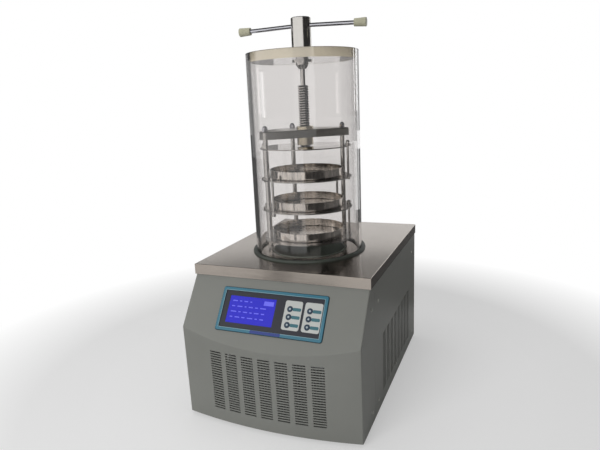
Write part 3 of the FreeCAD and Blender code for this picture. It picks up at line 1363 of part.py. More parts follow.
def fan_motor():
    body = turned("fan_motor", (
        "0", "plate_front + fan_setback + fan_hub_length + motor_gap",
        "foot_height + fan_height"), (
        ("motor_shaft_radius + running_gap", "0"), ("motor_radius - 2", "0"),
        ("motor_radius", "2"), ("motor_radius", "motor_length"), ("0", "motor_length"),
        ("0", "motor_shaft_depth + 1"), ("motor_shaft_radius + running_gap", "motor_shaft_depth + 1")),
        "-90", X_AXIS)
    foot = new_sketch(body, "XZ_Plane", lift="-fan_height + panel_gauge")
    rectangle(foot, "-motor_foot_width / 2", "motor_length / 4",
              "motor_foot_width / 2", "motor_length * 3 / 4")
    pad(body, foot, "fan_height - panel_gauge - motor_radius * 0.6")


def power_inlet():
    body = new_body("power_inlet", (
        "inlet_offset", "plate_front + plate_depth", "foot_height + utility_height"))
    flange = new_sketch(body, "XZ_Plane")
    centred(flange, "inlet_width + 2 * inlet_flange", "inlet_height + 2 * inlet_flange_top")
    pad(body, flange, "inlet_flange_gauge", reverse=True)
    housing = new_sketch(body, "XZ_Plane")
    centred(housing, "inlet_width", "inlet_height")
    pad(body, housing, "inlet_depth")
    recess = new_sketch(body, "XZ_Plane", lift="-inlet_flange_gauge")
    centred(recess, "inlet_width - 2 * inlet_wall", "inlet_height - 2 * inlet_wall")
    pocket(body, recess, "inlet_recess", reverse=True)
    pins = new_sketch(body, "XZ_Plane", lift="inlet_recess - inlet_flange_gauge")
    for across, up in (("-inlet_pin_spacing", "-inlet_pin_height / 2"),
                       ("0", "inlet_pin_height / 2"),
                       ("inlet_pin_spacing", "-inlet_pin_height / 2")):
        centred(pins, "inlet_pin_width", "inlet_pin_height", across, up)
    pad(body, pins, "inlet_pin_length", reverse=True)


def rocker_housing():
    body = new_body("rocker_housing", (
        "switch_offset", "plate_front + plate_depth", "foot_height + utility_height"))
    flange = new_sketch(body, "XZ_Plane")
    centred(flange, "switch_width + 2 * switch_rim", "switch_tall + 2 * switch_rim")
    pad(body, flange, "switch_wall", reverse=True)
    housing = new_sketch(body, "XZ_Plane")
    centred(housing, "switch_width", "switch_tall")
    pad(body, housing, "switch_depth")
    recess = new_sketch(body, "XZ_Plane", lift="-switch_wall")
    centred(recess, "switch_width - 2 * switch_wall", "switch_tall - 2 * switch_wall")
    pocket(body, recess, "switch_recess", reverse=True)
    pivot = new_sketch(body, "YZ_Plane")
    circle(pivot, "rocker_pin_radius + running_gap", "-rocker_gauge / 2")
    pierced = pocket(body, pivot, "switch_width - 2 * switch_wall + 2 * rocker_pin_length + thrust_gap")
    pierced.SideType = "Symmetric"


def power_rocker():
    body = new_body("power_rocker", (
        "switch_offset", "plate_front + plate_depth - rocker_gauge / 2",
        "foot_height + utility_height"), "-rocker_tilt", X_AXIS)
    wide = "switch_width - 2 * switch_wall - 2 * rocker_gap"
    tall = "(switch_tall / 2 - switch_wall - 2 * rocker_gap)"
    side = new_sketch(body, "YZ_Plane")
    outline(side, (("-rocker_gauge / 2", f"-{tall}"), ("rocker_gauge / 2 + 1", f"-{tall}"),
                   ("rocker_gauge / 2", "0"), ("rocker_gauge / 2 + 1", tall),
                   ("-rocker_gauge / 2", tall)))
    pad(body, side, wide, both=True)
    pins = new_sketch(body, "YZ_Plane")
    circle(pins, "rocker_pin_radius")
    pad(body, pins, "switch_width - 2 * switch_wall + 2 * rocker_pin_length", both=True)


# ---------------------------------------------------------------- assembly
base_tray()
rubber_feet()
corner_posts()
front_panel()
side_panel("left_side_panel", "-half_panels")
side_panel("right_side_panel", "half_panels - panel_gauge")
rear_panel()
top_plate()
panel_screws()
control_frame()
keypad_overlay()
key_plates()
push_keys()
display_module()
controller_board()
compressor()
condenser_coil()
fan_blades()
fan_motor()
power_inlet()
rocker_housing()
power_rocker()
trap_vessel()
evaporator_coil()
trap_insulation()
vacuum_port()
drain_valve()
drain_lever()
drain_pipe()
refrigerant_pipes()
seal_ring()
chamber_tube()
chamber_lid()
shaft_gland()
gland_nut()
arms_of_handle = handle_arms()
handle_caps(arms_of_handle)
handle_hub(arms_of_handle)
drive_shaft()
press_screw()
screw_retainer()
screw_nut()
rack_top_plate()
rack_columns()
column_nuts()
disc("press_plate", "press_top", "-hanger_angle", None, "slide_gap",
     middle="journal_radius + running_gap")
disc("upper_shelf", "press_top - shelf_pitch", "hanger_angle", "-hanger_angle", "slide_gap")
disc("middle_shelf", "press_top - 2 * shelf_pitch", "-hanger_angle", "hanger_angle", "slide_gap")
disc("lower_shelf", "lower_shelf_top", None, "-hanger_angle", "running_gap")
hangers("upper_hangers", "press_top", "-hanger_angle")
hangers("middle_hangers", "press_top - shelf_pitch", "hanger_angle")
hangers("lower_hangers", "press_top - 2 * shelf_pitch", "-hanger_angle")
tray("upper_tray", "press_top - shelf_pitch")
tray("middle_tray", "press_top - 2 * shelf_pitch")
tray("lower_tray", "lower_shelf_top")
doc.recompute()

# ---------------------------------------------------------------- checks and files
for thing in doc.Objects:
    if {"Invalid", "Error"} & set(thing.State):
        raise RuntimeError(f"{thing.Label} has failed: {thing.State}")
for thing in SUBPARTS:
    if thing.Shape.isNull() or not thing.Shape.isValid() or not thing.Shape.Solids:
        raise RuntimeError(f"{thing.Label} has no valid solid")

os.makedirs("parts", exist_ok=True)
for thing in SUBPARTS:
    thing.Shape.exportStep(f"parts/{thing.Label}.step")
print(len(SUBPARTS), "sub-parts written")
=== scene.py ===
"""Finishes and fine pieces for a bench-top freeze dryer, built round its packed CAD frame.

Laid out as an add-on and run as a script. Every length below is in millimetres unless a
property says otherwise, and every piece stands in the CAD frame: +Z up, +Y to the rear.
"""

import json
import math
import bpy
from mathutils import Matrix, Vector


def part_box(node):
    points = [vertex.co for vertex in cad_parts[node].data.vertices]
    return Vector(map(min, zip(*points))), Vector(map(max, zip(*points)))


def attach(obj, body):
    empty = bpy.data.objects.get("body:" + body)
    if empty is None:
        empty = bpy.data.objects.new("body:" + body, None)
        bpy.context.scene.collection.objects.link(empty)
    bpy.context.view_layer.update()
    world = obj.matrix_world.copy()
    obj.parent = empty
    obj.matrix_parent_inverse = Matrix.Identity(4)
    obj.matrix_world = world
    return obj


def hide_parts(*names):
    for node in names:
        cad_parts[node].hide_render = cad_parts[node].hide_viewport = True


bl_info = {
    "name": "Freeze dryer finishes",
    "version": (1, 0, 0),
    "blender": (4, 5, 0),
    "location": "3D View > Sidebar > Freeze dryer",
    "description": "Materials and fine pieces for a bench-top freeze dryer, and its stage",
    "category": "Object",
}

import bpy
from bpy.props import FloatProperty, FloatVectorProperty, IntProperty, PointerProperty
from mathutils import Euler, Vector

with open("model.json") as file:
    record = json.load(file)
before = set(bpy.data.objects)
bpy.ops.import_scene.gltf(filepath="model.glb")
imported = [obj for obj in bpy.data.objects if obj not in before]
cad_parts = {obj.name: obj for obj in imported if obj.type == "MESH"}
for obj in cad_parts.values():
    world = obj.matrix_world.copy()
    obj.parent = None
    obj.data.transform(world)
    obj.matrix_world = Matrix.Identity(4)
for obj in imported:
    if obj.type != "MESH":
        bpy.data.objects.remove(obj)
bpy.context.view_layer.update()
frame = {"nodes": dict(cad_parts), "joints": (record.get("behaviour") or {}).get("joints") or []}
MM = 0.001
ROUNDING = 0.01 * MM  # points nearer than this to a face count as on it

KEYS = [f"key_{number}" for number in range(1, 7)]
KEY_PRESS = next(joint for joint in frame["joints"] if joint["name"] == "key_1_press")
OUTWARD = -Vector(KEY_PRESS["axis"]).normalized()
ACROSS = Vector((1, 0, 0))
UP_SLOPE = OUTWARD.cross(ACROSS).normalized()


# ------------------------------------------------------------------ small helpers
def linear(hex_colour):
    """The linear values of a colour written as sRGB hex."""
    parts = [int(hex_colour[place:place + 2], 16) / 255 for place in (1, 3, 5)]
    return tuple(part / 12.92 if part <= 0.04045 else ((part + 0.055) / 1.055) ** 2.4
                 for part in parts)


def colour_property(name, description, hex_colour):
    """A colour that a user may change."""
    return FloatVectorProperty(name=name, description=description, subtype="COLOR", size=3,
                               min=0, max=1, default=linear(hex_colour))


def length_property(name, description, millimetres):
    """A length that a user may change, shown in the scene's units."""
    return FloatProperty(name=name, description=description, subtype="DISTANCE",
                         unit="LENGTH", min=0, default=millimetres * MM)


def power_property(name, description, watts):
    """A lamp's power that a user may change."""
    return FloatProperty(name=name, description=description, subtype="POWER", unit="POWER",
                         min=0, default=watts)


def per(millimetres):
    """The texture scale at which one feature of a pattern is that long."""
    return 1 / (millimetres * MM)


def centre(node):
    """The middle of a CAD node's box."""
    low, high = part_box(node)
    return (low + high) / 2


def far_end(node, direction):
    """The middle of the rim that lies furthest along a direction on a CAD node."""
    points = [corner.co for corner in frame["nodes"][node].data.vertices]
    most = max(point.dot(direction) for point in points)
    rim = [point for point in points if point.dot(direction) > most - ROUNDING]
    return sum(rim, Vector()) / len(rim)


def add_object(name, data):
    """A new object in the scene."""
    made = bpy.data.objects.new(name, data)
    bpy.context.scene.collection.objects.link(made)
    return made


# ------------------------------------------------------------------ materials
def add_node(tree, kind, inputs=None, **settings):
    """Adds a shader node with its settings, and sets or links its sockets."""
    made = tree.nodes.new("ShaderNode" + kind)
    for name, value in settings.items():
        setattr(made, name, value)
    for socket, value in (inputs or {}).items():
        if isinstance(value, bpy.types.NodeSocket):
            tree.links.new(value, made.inputs[socket])
        else:
            made.inputs[socket].default_value = value
    return made


def new_material(name, colour, **sockets):
    """A material with one Principled surface; returns it, its tree and its surface."""
    material = bpy.data.materials.new(name)
    material.use_nodes = True
    tree = material.node_tree
    tree.nodes.clear()
    values = {"Base Color": (*colour, 1)}
    values.update({socket.replace("_", " "): value for socket, value in sockets.items()})
    surface = add_node(tree, "BsdfPrincipled", values)
    add_node(tree, "OutputMaterial", {"Surface": surface.outputs[0]})
    material.diffuse_color = (*colour, 1)
    return material, tree, surface


def ramp(tree, source, low, high, start=0.3, end=0.7):
    """Spreads a pattern's middle values over a range of plain numbers."""
    return add_node(tree, "MapRange", {"Value": source, "From Min": start, "From Max": end,
                                       "To Min": low, "To Max": high}).outputs["Result"]


def roughen(tree, surface, source, low, high, start=0.3, end=0.7):
    """Spreads a pattern's middle values over a surface's roughness."""
    tree.links.new(ramp(tree, source, low, high, start, end), surface.inputs["Roughness"])


def between(tree, share, first, last):
    """A colour that goes from the first to the last as a share goes from zero to one."""
    return add_node(tree, "Mix", {"Factor": share, 6: (*first, 1), 7: (*last, 1)},
                    data_type="RGBA").outputs[2]


def tint(tree, surface, colour, source, spread):
    """Lets a pattern lighten and darken a surface's colour by a share each way."""
    darker = [part * (1 - spread) for part in colour]
    lighter = [min(1, part * (1 + spread)) for part in colour]
    tree.links.new(between(tree, source, darker, lighter), surface.inputs["Base Color"])


def relief(tree, surface, source, depth, strength=1.0):
    """Raises a surface by a pattern, as deep as the real relief."""
    bump = add_node(tree, "Bump", {"Strength": strength, "Distance": depth * MM,
                                   "Height": source})
    tree.links.new(bump.outputs[0], surface.inputs["Normal"])


def show_mixed(tree, share, first, last):
    """Shows the first shader where a share is zero, and the last where it is one."""
    mixed = add_node(tree, "MixShader", {0: share, 1: first.outputs[0], 2: last.outputs[0]})
    output = next(node for node in tree.nodes if node.type == "OUTPUT_MATERIAL")
    tree.links.new(mixed.outputs[0], output.inputs["Surface"])


def pass_lamps(tree, surface):
    """Lets lamps reach what is inside, as they do through the real clear wall."""
    passed = 0.86  # the share of light that a polished wall passes on
    clear = add_node(tree, "BsdfTransparent", {"Color": (passed, passed, passed, 1)})
    show_mixed(tree, add_node(tree, "LightPath").outputs["Is Shadow Ray"], surface, clear)


def grain(tree, millimetres, detail=2.0, stretch=(1, 1, 1)):
    """A cloudy pattern of one real size; stretch draws it out along some axes."""
    place = add_node(tree, "TexCoord").outputs["Object"]
    if tuple(stretch) != (1, 1, 1):
        place = add_node(tree, "Mapping", {"Vector": place, "Scale": [1 / s for s in stretch]}
                         ).outputs[0]
    return add_node(tree, "TexNoise", {"Vector": place, "Scale": per(millimetres),
                                       "Detail": detail}).outputs["Fac"]


def level_share(tree):
    """One on level faces and zero on upright ones."""
    normal = add_node(tree, "NewGeometry").outputs["Normal"]
    upright = add_node(tree, "SeparateXYZ", {0: normal}).outputs["Z"]
    flat = add_node(tree, "Math", {0: upright}, operation="ABSOLUTE").outputs[0]
    return ramp(tree, flat, 0.0, 1.0, 0.4, 0.6)


def powder_coated_steel(name, colour, roughness=0.42):
    """Baked powder paint on steel sheet: an even satin with a fine orange peel."""
    material, tree, surface = new_material(name, colour, IOR=1.5)
    # real orange peel is about 1 mm across; drawn at 1.6 mm so that it shows
    peel = grain(tree, 1.6, 3)
    clouds = grain(tree, 90, 3)
    roughen(tree, surface, peel, roughness - 0.05, roughness + 0.06)
    tint(tree, surface, colour, clouds, 0.05)
    relief(tree, surface, peel, 0.02, 0.5)
    return material


def brushed_stainless(name, colour, roughness=0.3, stretch=(120, 1, 1)):
    """Sheet steel drawn over a belt: long fine scratches that pull highlights out."""
    material, tree, surface = new_material(name, colour, Metallic=1.0)
    # belt scratches are about 0.1 mm wide; drawn at 0.5 mm so that they show
    scratches = grain(tree, 0.5, 4, stretch)
    patches = grain(tree, 70, 3)
    roughen(tree, surface, scratches, roughness - 0.08, roughness + 0.1)
    both = add_node(tree, "Mix", {"Factor": 0.5, 2: scratches, 3: patches})
    tint(tree, surface, colour, both.outputs[0], 0.12)
    relief(tree, surface, scratches, 0.006, 0.35)
    return material


def blasted_stainless(name, colour):
    """Stainless blasted with beads and misted by frost: dull, soft and a little green."""
    material, tree, surface = new_material(name, colour, Metallic=0.45)
    # the blast leaves pits of 0.1 mm; drawn at 1.2 mm so that they show
    pits = grain(tree, 1.2, 3)
    streaks = grain(tree, 9, 3, (1, 1, 14))
    roughen(tree, surface, pits, 0.42, 0.55)
    tint(tree, surface, colour, streaks, 0.2)
    relief(tree, surface, pits, 0.02, 0.4)
    return material


def turned_metal(name, colour, roughness=0.22, axis=2):
    """Metal cut on a lathe: rings one feed apart round the axis it was turned on."""
    material, tree, surface = new_material(name, colour, Metallic=1.0)
    # a finishing feed is about 0.1 mm; drawn at 0.4 mm so that it shows
    stretch = [200, 200, 200]
    stretch[axis] = 1
    rings = grain(tree, 0.4, 2, stretch)
    stains = grain(tree, 14, 3)
    roughen(tree, surface, rings, roughness - 0.06, roughness + 0.08)
    tint(tree, surface, colour, stains, 0.08)
    relief(tree, surface, rings, 0.004, 0.4)
    return material


def bushed_aluminium(name, colour, bush_colour, floor):
    """Milled aluminium plate, satin, with a bronze bush pressed in under its floor."""
    material, tree, surface = new_material(name, colour, Metallic=1.0)
    # cutter marks are 0.3 mm apart; drawn at 1.5 mm so that they show
    marks = grain(tree, 1.5, 3, (30, 30, 1))
    roughen(tree, surface, marks, 0.26, 0.4)
    place = add_node(tree, "TexCoord").outputs["Object"]
    height = add_node(tree, "SeparateXYZ", {0: place}).outputs["Z"]
    over = ramp(tree, height, 0.0, 1.0, floor - 0.2 * MM, floor - 0.1 * MM)
    plain = between(tree, over, bush_colour, colour)
    shade = add_node(tree, "Mix", {"Factor": 0.14, 6: plain, 7: marks}, data_type="RGBA",
                     blend_type="MULTIPLY").outputs[2]
    tree.links.new(shade, surface.inputs["Base Color"])
    relief(tree, surface, marks, 0.02, 0.4)
    return material


def greased_thread_steel(name, colour, middle, root, crest):
    """Rolled thread steel: bright crests over roots darkened by painted shade."""
    material, tree, surface = new_material(name, colour, Metallic=1.0)
    place = add_node(tree, "TexCoord").outputs["Object"]
    away = add_node(tree, "VectorMath", {0: place, 1: middle}, operation="SUBTRACT").outputs[0]
    flat = add_node(tree, "VectorMath", {0: away, 1: (1, 1, 0)}, operation="MULTIPLY").outputs[0]
    out = add_node(tree, "VectorMath", {0: flat}, operation="LENGTH").outputs["Value"]
    # painted shade fills the lowest millimetre of the roots and thins out up to 0.2 mm under the
    # crest
    bare = ramp(tree, out, 0.0, 1.0, root + 1.0 * MM, crest - 0.2 * MM)
    painted_root_shade = [0.05 * part for part in colour]
    tree.links.new(between(tree, bare, painted_root_shade, colour), surface.inputs["Base Color"])
    roughen(tree, surface, bare, 0.45, 0.14, 0, 1)
    return material


def polished_stainless(name, colour, roughness=0.1):
    """Pressed and buffed tray steel: nearly a mirror, with faint upright draw marks."""
    material, tree, surface = new_material(name, colour, Metallic=1.0)
    # draw marks are 1 mm apart; drawn at 6 mm so that they show
    marks = ramp(tree, grain(tree, 6, 3, (1, 1, 12)), 0.0, 1.0, 0.35, 0.65)
    haze = grain(tree, 25, 4)
    # a floor is duller than a wall, because trays are wiped and stacked on it
    worn = add_node(tree, "Math", {0: level_share(tree), 1: 0.15}, operation="MULTIPLY")
    rough = add_node(tree, "Math", {0: ramp(tree, haze, roughness - 0.03, roughness + 0.05),
                                    1: worn.outputs[0]}, operation="ADD")
    tree.links.new(rough.outputs[0], surface.inputs["Roughness"])
    tint(tree, surface, colour, marks, 0.2)
    relief(tree, surface, marks, 0.15, 0.6)
    return material


def bright_chrome(name, colour):
    """Chromium plate on a polished bar: a cool mirror with a breath of haze."""
    material, tree, surface = new_material(name, colour, Metallic=1.0)
    haze = grain(tree, 6, 3)
    roughen(tree, surface, haze, 0.05, 0.12)
    return material


def clear_acrylic(name, colour):
    """Cast acrylic tube, polished: clear, bending light at its walls, a little grey."""
    material, tree, surface = new_material(name, colour, IOR=1.49, Transmission_Weight=1.0,
                                           Roughness=0.0)
    pass_lamps(tree, surface)
    return material


def sawn_acrylic(name, colour, edge_colour):
    """Cast acrylic plate: clear faces, and a sawn rim of half-clear milky cream."""
    material, tree, surface = new_material(name, colour, IOR=1.49)
    face = level_share(tree)
    # saw marks are about 0.4 mm apart; drawn at 1.2 mm so that they show
    saw = grain(tree, 1.2, 3, (1, 1, 30))
    tree.links.new(between(tree, face, edge_colour, colour), surface.inputs["Base Color"])
    tree.links.new(ramp(tree, face, 0.28, 1.0, 0.0, 1.0),
                   surface.inputs["Transmission Weight"])
    roughen(tree, surface, face, 0.12, 0.02, 0.0, 1.0)
    relief(tree, surface, saw, 0.03, 0.2)
    pass_lamps(tree, surface)
    return material


def moulded_plastic(name, colour, roughness=0.35, texture=0.8):
    """Moulded ABS: an even colour with the mould's fine spark-eroded grain."""
    material, tree, surface = new_material(name, colour, IOR=1.53)
    # spark erosion leaves pits of 0.1 mm; drawn at 0.5 to 0.9 mm so that they show
    pits = grain(tree, texture, 2)
    roughen(tree, surface, pits, roughness - 0.05, roughness + 0.08)
    tint(tree, surface, colour, grain(tree, 12, 2), 0.05)
    relief(tree, surface, pits, 0.01, 0.4)
    return material


def gloss_enamel(name, colour):
    """Stoved enamel on a thin frame: smooth, with a clear wet-looking top."""
    material, tree, surface = new_material(name, colour, IOR=1.5, Coat_Weight=0.4,
                                           Coat_Roughness=0.08)
    flow = grain(tree, 7, 2)
    roughen(tree, surface, flow, 0.28, 0.4)
    tint(tree, surface, colour, flow, 0.07)
    relief(tree, surface, flow, 0.03, 0.25)
    return material


def polyester_film(name, colour, roughness=0.38):
    """Printed polyester film: flat colour under a fine velvet texture."""
    material, tree, surface = new_material(name, colour, IOR=1.57)
    # the film's texture is 0.1 mm fine; drawn at 0.7 mm so that it shows
    velvet = grain(tree, 0.7, 2)
    roughen(tree, surface, velvet, roughness - 0.04, roughness + 0.06)
    tint(tree, surface, colour, grain(tree, 30, 2), 0.04)
    relief(tree, surface, velvet, 0.008, 0.3)
    return material


def lit_liquid_crystal(name, colour, glow):
    """Backlit liquid crystal under a clear cover: deep even blue with a fine dot grid."""
    material, tree, surface = new_material(name, colour, IOR=1.5, Roughness=0.16)
    place = add_node(tree, "TexCoord").outputs["Object"]
    # dots are 0.5 mm apart; drawn at 1.5 mm so that they show
    dots = add_node(tree, "TexVoronoi", {"Vector": place, "Scale": per(1.5),
                                         "Randomness": 0.0}).outputs["Distance"]
    tint(tree, surface, colour, ramp(tree, dots, 1.0, 0.0, 0.2, 0.6), 0.12)
    surface.inputs["Emission Color"].default_value = (*colour, 1)
    surface.inputs["Emission Strength"].default_value = glow
    return material


def moulded_rubber(name, colour, roughness=0.6):
    """Moulded rubber: dull, with a bloom that greys it in patches."""
    material, tree, surface = new_material(name, colour, IOR=1.52)
    bloom = grain(tree, 18, 4)
    roughen(tree, surface, bloom, roughness - 0.1, roughness + 0.12)
    tint(tree, surface, colour, bloom, 0.25)
    # the mould's skin is 0.2 mm fine; drawn at 0.9 mm so that it shows
    relief(tree, surface, grain(tree, 0.9, 2), 0.02, 0.4)
    return material


def poured_foam(name, colour):
    """Poured polyurethane foam: buff, dull and open, pitted all over by its cells."""
    material, tree, surface = new_material(name, colour, Roughness=0.9)
    place = add_node(tree, "TexCoord").outputs["Object"]
    # cells are about 1 mm across; drawn at 1.6 mm so that they show
    cells = add_node(tree, "TexVoronoi", {"Vector": place, "Scale": per(1.6)}
                     ).outputs["Distance"]
    tint(tree, surface, colour, grain(tree, 35, 4), 0.15)
    relief(tree, surface, cells, 0.3, 0.6)
    return material


def drawn_copper(name, colour):
    """Drawn copper tube: warm and smooth, browned where it has been handled."""
    material, tree, surface = new_material(name, colour, Metallic=1.0)
    tarnish = grain(tree, 22, 5)
    roughen(tree, surface, tarnish, 0.22, 0.42)
    tint(tree, surface, colour, tarnish, 0.3)
    return material


def galvanised_steel(name, colour):
    """Hot-dip galvanised steel: dull zinc in crystals about 8 mm across."""
    material, tree, surface = new_material(name, colour, Metallic=1.0)
    place = add_node(tree, "TexCoord").outputs["Object"]
    spangle = add_node(tree, "TexVoronoi", {"Vector": place, "Scale": per(8)})
    shade = add_node(tree, "SeparateColor", {0: spangle.outputs["Color"]}).outputs[0]
    roughen(tree, surface, shade, 0.35, 0.5, 0, 1)
    tint(tree, surface, colour, shade, 0.18)
    return material


def mill_aluminium(name, colour):
    """Thin aluminium as it left the mill: pale, with a faint rolled grain."""
    material, tree, surface = new_material(name, colour, Metallic=1.0)
    # roll marks are 0.1 mm wide; drawn at 0.8 mm so that they show
    rolled = grain(tree, 0.8, 3, (1, 1, 60))
    roughen(tree, surface, rolled, 0.3, 0.45)
    tint(tree, surface, colour, rolled, 0.08)
    return material


def lacquered_board(name, colour):
    """Glass-fibre circuit board: green lacquer that shows the weave under it."""
    material, tree, surface = new_material(name, colour, IOR=1.5)
    place = add_node(tree, "TexCoord").outputs["Object"]
    # the weave is about 0.5 mm; drawn at 1.2 mm so that it shows
    weave = add_node(tree, "TexChecker", {"Vector": place, "Scale": per(1.2)}).outputs["Fac"]
    roughen(tree, surface, weave, 0.28, 0.34, 0, 1)
    tint(tree, surface, colour, grain(tree, 20, 2), 0.1)
    return material


# ------------------------------------------------------------------ shapes
def smooth(mesh, degrees=32):
    """Shades a mesh as smooth between its real edges."""
    mesh.shade_smooth()
    mesh.set_sharp_from_angle(angle=math.radians(degrees))


def dress(material, *nodes):
    """Gives CAD nodes one material."""
    for node in nodes:
        mesh = frame["nodes"][node].data
        mesh.materials.clear()
        mesh.materials.append(material)
        smooth(mesh)


def new_piece(name, points, faces, material, body, slot, replaced=()):
    """A mesh piece that rides on a CAD body and wears the material it is given; slot is not
    used.
    """
    mesh = bpy.data.meshes.new(name)
    mesh.from_pydata([tuple(point) for point in points], [], faces)
    mesh.validate()
    mesh.update()
    smooth(mesh)
    mesh.materials.append(material)
    piece = add_object(name, mesh)
    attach(piece, body)
    if replaced:
        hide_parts(*replaced)
    return piece


def loft(rings, closed=True):
    """Skins rings of points into one closed shell with a cap on each end."""
    count = len(rings[0])
    points = [point for ring in rings for point in ring]
    faces = []
    for ring in range(len(rings) - 1):
        for step in range(count):
            here, after = ring * count + step, ring * count + (step + 1) % count
            faces.append((here, after, after + count, here + count))
    if closed:
        faces.append(tuple(reversed(range(count))))
        faces.append(tuple(range(len(points) - count, len(points))))
    return points, faces


def joined(shells):
    """Several shells of points and faces as one."""
    points, faces = [], []
    for more_points, more_faces in shells:
        start = len(points)
        points.extend(more_points)
        faces.extend(tuple(start + corner for corner in face) for face in more_faces)
    return points, faces


def round_rectangle(width, height, radius, steps=6):
    """The outline of a rectangle with round corners, anticlockwise, about its middle."""
    outline = []
    for corner, turn in (((1, 1), 0), ((-1, 1), 90), ((-1, -1), 180), ((1, -1), 270)):
        middle = (corner[0] * (width / 2 - radius), corner[1] * (height / 2 - radius))
        for step in range(steps + 1):
            angle = math.radians(turn + 90 * step / steps)
            outline.append((middle[0] + radius * math.cos(angle),
                            middle[1] + radius * math.sin(angle)))
    return outline


def extent(node, direction):
    """How far a CAD node goes along a direction, least and most."""
    along = [corner.co.dot(direction) for corner in frame["nodes"][node].data.vertices]
    return min(along), max(along)


def console_middle():
    """The middle of the console on the face of the slope that carries it."""
    face = extent("control_frame", OUTWARD)[0]
    return (ACROSS * sum(extent("control_frame", ACROSS)) / 2
            + UP_SLOPE * sum(extent("control_frame", UP_SLOPE)) / 2 + OUTWARD * face)


CONSOLE_MIDDLE = console_middle()


def console_point(across, up, lift):
    """A point over the console: across from its middle, up the slope, off the slope."""
    return CONSOLE_MIDDLE + (ACROSS * across + UP_SLOPE * up + OUTWARD * lift) * MM


def console_plate(outline, across, up, floor, top, ease=0.0):
    """A thin plate over the console, with its upper edge drawn in by a small ease."""
    def ring(lift, inset):
        share = 1 - inset / max(max(abs(x), abs(y)) for x, y in outline)
        return [console_point(across + x * share, up + y * share, lift) for x, y in outline]
    rings = [ring(floor, 0), ring(top - ease, 0), ring(top, ease)]
    return loft(rings)


def console_band(outer, inner, floor, top):
    """A flat frame over the console between two outlines of the same point count."""
    rings = [[console_point(x, y, lift) for x, y in outline]
             for outline, lift in ((outer, floor), (outer, top), (inner, top), (inner, floor))]
    points, faces = loft(rings, closed=False)
    count = len(outer)
    for step in range(count):
        here, after = 3 * count + step, 3 * count + (step + 1) % count
        faces.append((here, after, (step + 1) % count, step))
    return points, faces


# ------------------------------------------------------------------ settings
class CabinetSettings(bpy.types.PropertyGroup):
    """Paint and sheet of the cabinet."""
    paint: colour_property("Paint", "Powder coat of the panels", "#83847f")
    stainless: colour_property("Top plate", "Brushed stainless of the top plate", "#a39b93")
    zinc: colour_property("Posts", "Zinc of the corner posts", "#9fa4a6")
    rubber: colour_property("Feet", "Rubber of the feet", "#26262a")
    head_radius: length_property("Screw head", "Radius of a panel screw's head", 4.0)
    recess_width: length_property("Cross recess", "Width of the recess's arms", 1.1)


class ConsoleSettings(bpy.types.PropertyGroup):
    """Colours and printed fields of the console."""
    frame: colour_property("Frame", "Enamel of the frame", "#3b7488")
    # a pale line along the frame's inner top edge
    line: colour_property("Trim line", "Light line inside the frame", "#8fb0b8")
    # a dark band round the frame's foot: painted shade for the shade line round the frame
    shade_band: colour_property("Gasket", "Dark gasket round the frame", "#16323c")
    film: colour_property("Overlay", "Film of the overlay", "#2a2b33")
    plate: colour_property("Key plates", "Film of the key plates", "#c6c8c5")
    key: colour_property("Keys", "Moulded keys", "#2b3c4e")
    mark: colour_property("Key mark", "Light spot on a key", "#b4bfc4")
    bar: colour_property("Label bars", "Bare label bars beside the keys", "#42707a")
    strip: colour_property("Name strip", "Bare strip in the frame's lower rim", "#2d3f86")
    screen: colour_property("Screen", "Lit liquid crystal", "#1e1cb4")
    trace: colour_property("Screen traces", "Lighter shapes on the screen", "#6262e0")
    glow: FloatProperty(name="Glow", description="Strength of the screen's backlight",
                        min=0, max=2, default=0.35)


class ChamberSettings(bpy.types.PropertyGroup):
    """Clear parts, seal and rack of the drying chamber."""
    acrylic: colour_property("Acrylic", "Tint of the clear tube", "#ebe9e8")
    sawn_edge: colour_property("Lid rim", "Sawn rim of the lid", "#fbf2dc")
    seal: colour_property("Seal", "Rubber of the seal ring", "#474c46")
    steel: colour_property("Turned steel", "Shafts, columns and nuts", "#c9c6c2")
    sheet: colour_property("Shelf sheet", "Sheet of shelves and press plate", "#b6b3af")
    tray: colour_property("Tray steel", "Polished steel of the trays", "#d8d2cb")
    plate: colour_property("Rack plate", "Milled aluminium of the rack's top plate", "#cdcac4")
    bronze: colour_property("Screw nut", "Bronze of the screw's nut", "#dacfb8")


class PressSettings(bpy.types.PropertyGroup):
    """Thread and handle of the press."""
    lead: length_property("Thread lead", "Rise of the press screw per turn", 6.0)
    depth: length_property("Thread depth", "Depth of the press screw's thread", 3.0)
    sides: IntProperty(name="Thread sides", description="Points round the thread",
                       min=24, max=192, default=96)
    thread: colour_property("Thread", "Rolled steel of the press screw", "#cfcac4")
    hub: colour_property("Hub", "Bright turned hub of the handle", "#d3d0cb")
    chrome: colour_property("Arms", "Plated bars of the handle", "#c6c6cc")
    cap: colour_property("Caps", "Moulded end caps of the handle", "#b9b79f")


class InsideSettings(bpy.types.PropertyGroup):
    """Machinery in and behind the cabinet."""
    trap: colour_property("Trap", "Blasted steel of the cold trap", "#8b958c")
    copper: colour_property("Copper", "Refrigerant pipes and coil", "#c07a50")
    foam: colour_property("Foam", "Insulation round the cold trap", "#d9cfa4")
    black: colour_property("Black paint", "Compressor and motor", "#202124")
    fins: colour_property("Fins", "Condenser fins", "#c4c6c8")
    board: colour_property("Board", "Controller board", "#2e6b3c")
    mould: colour_property("Black mouldings", "Fan, inlet and switch", "#1d1e20")
    brass: colour_property("Brass", "Drain valve", "#c2a766")
    lever: colour_property("Lever", "Dipped coating of the drain lever", "#a3261f")


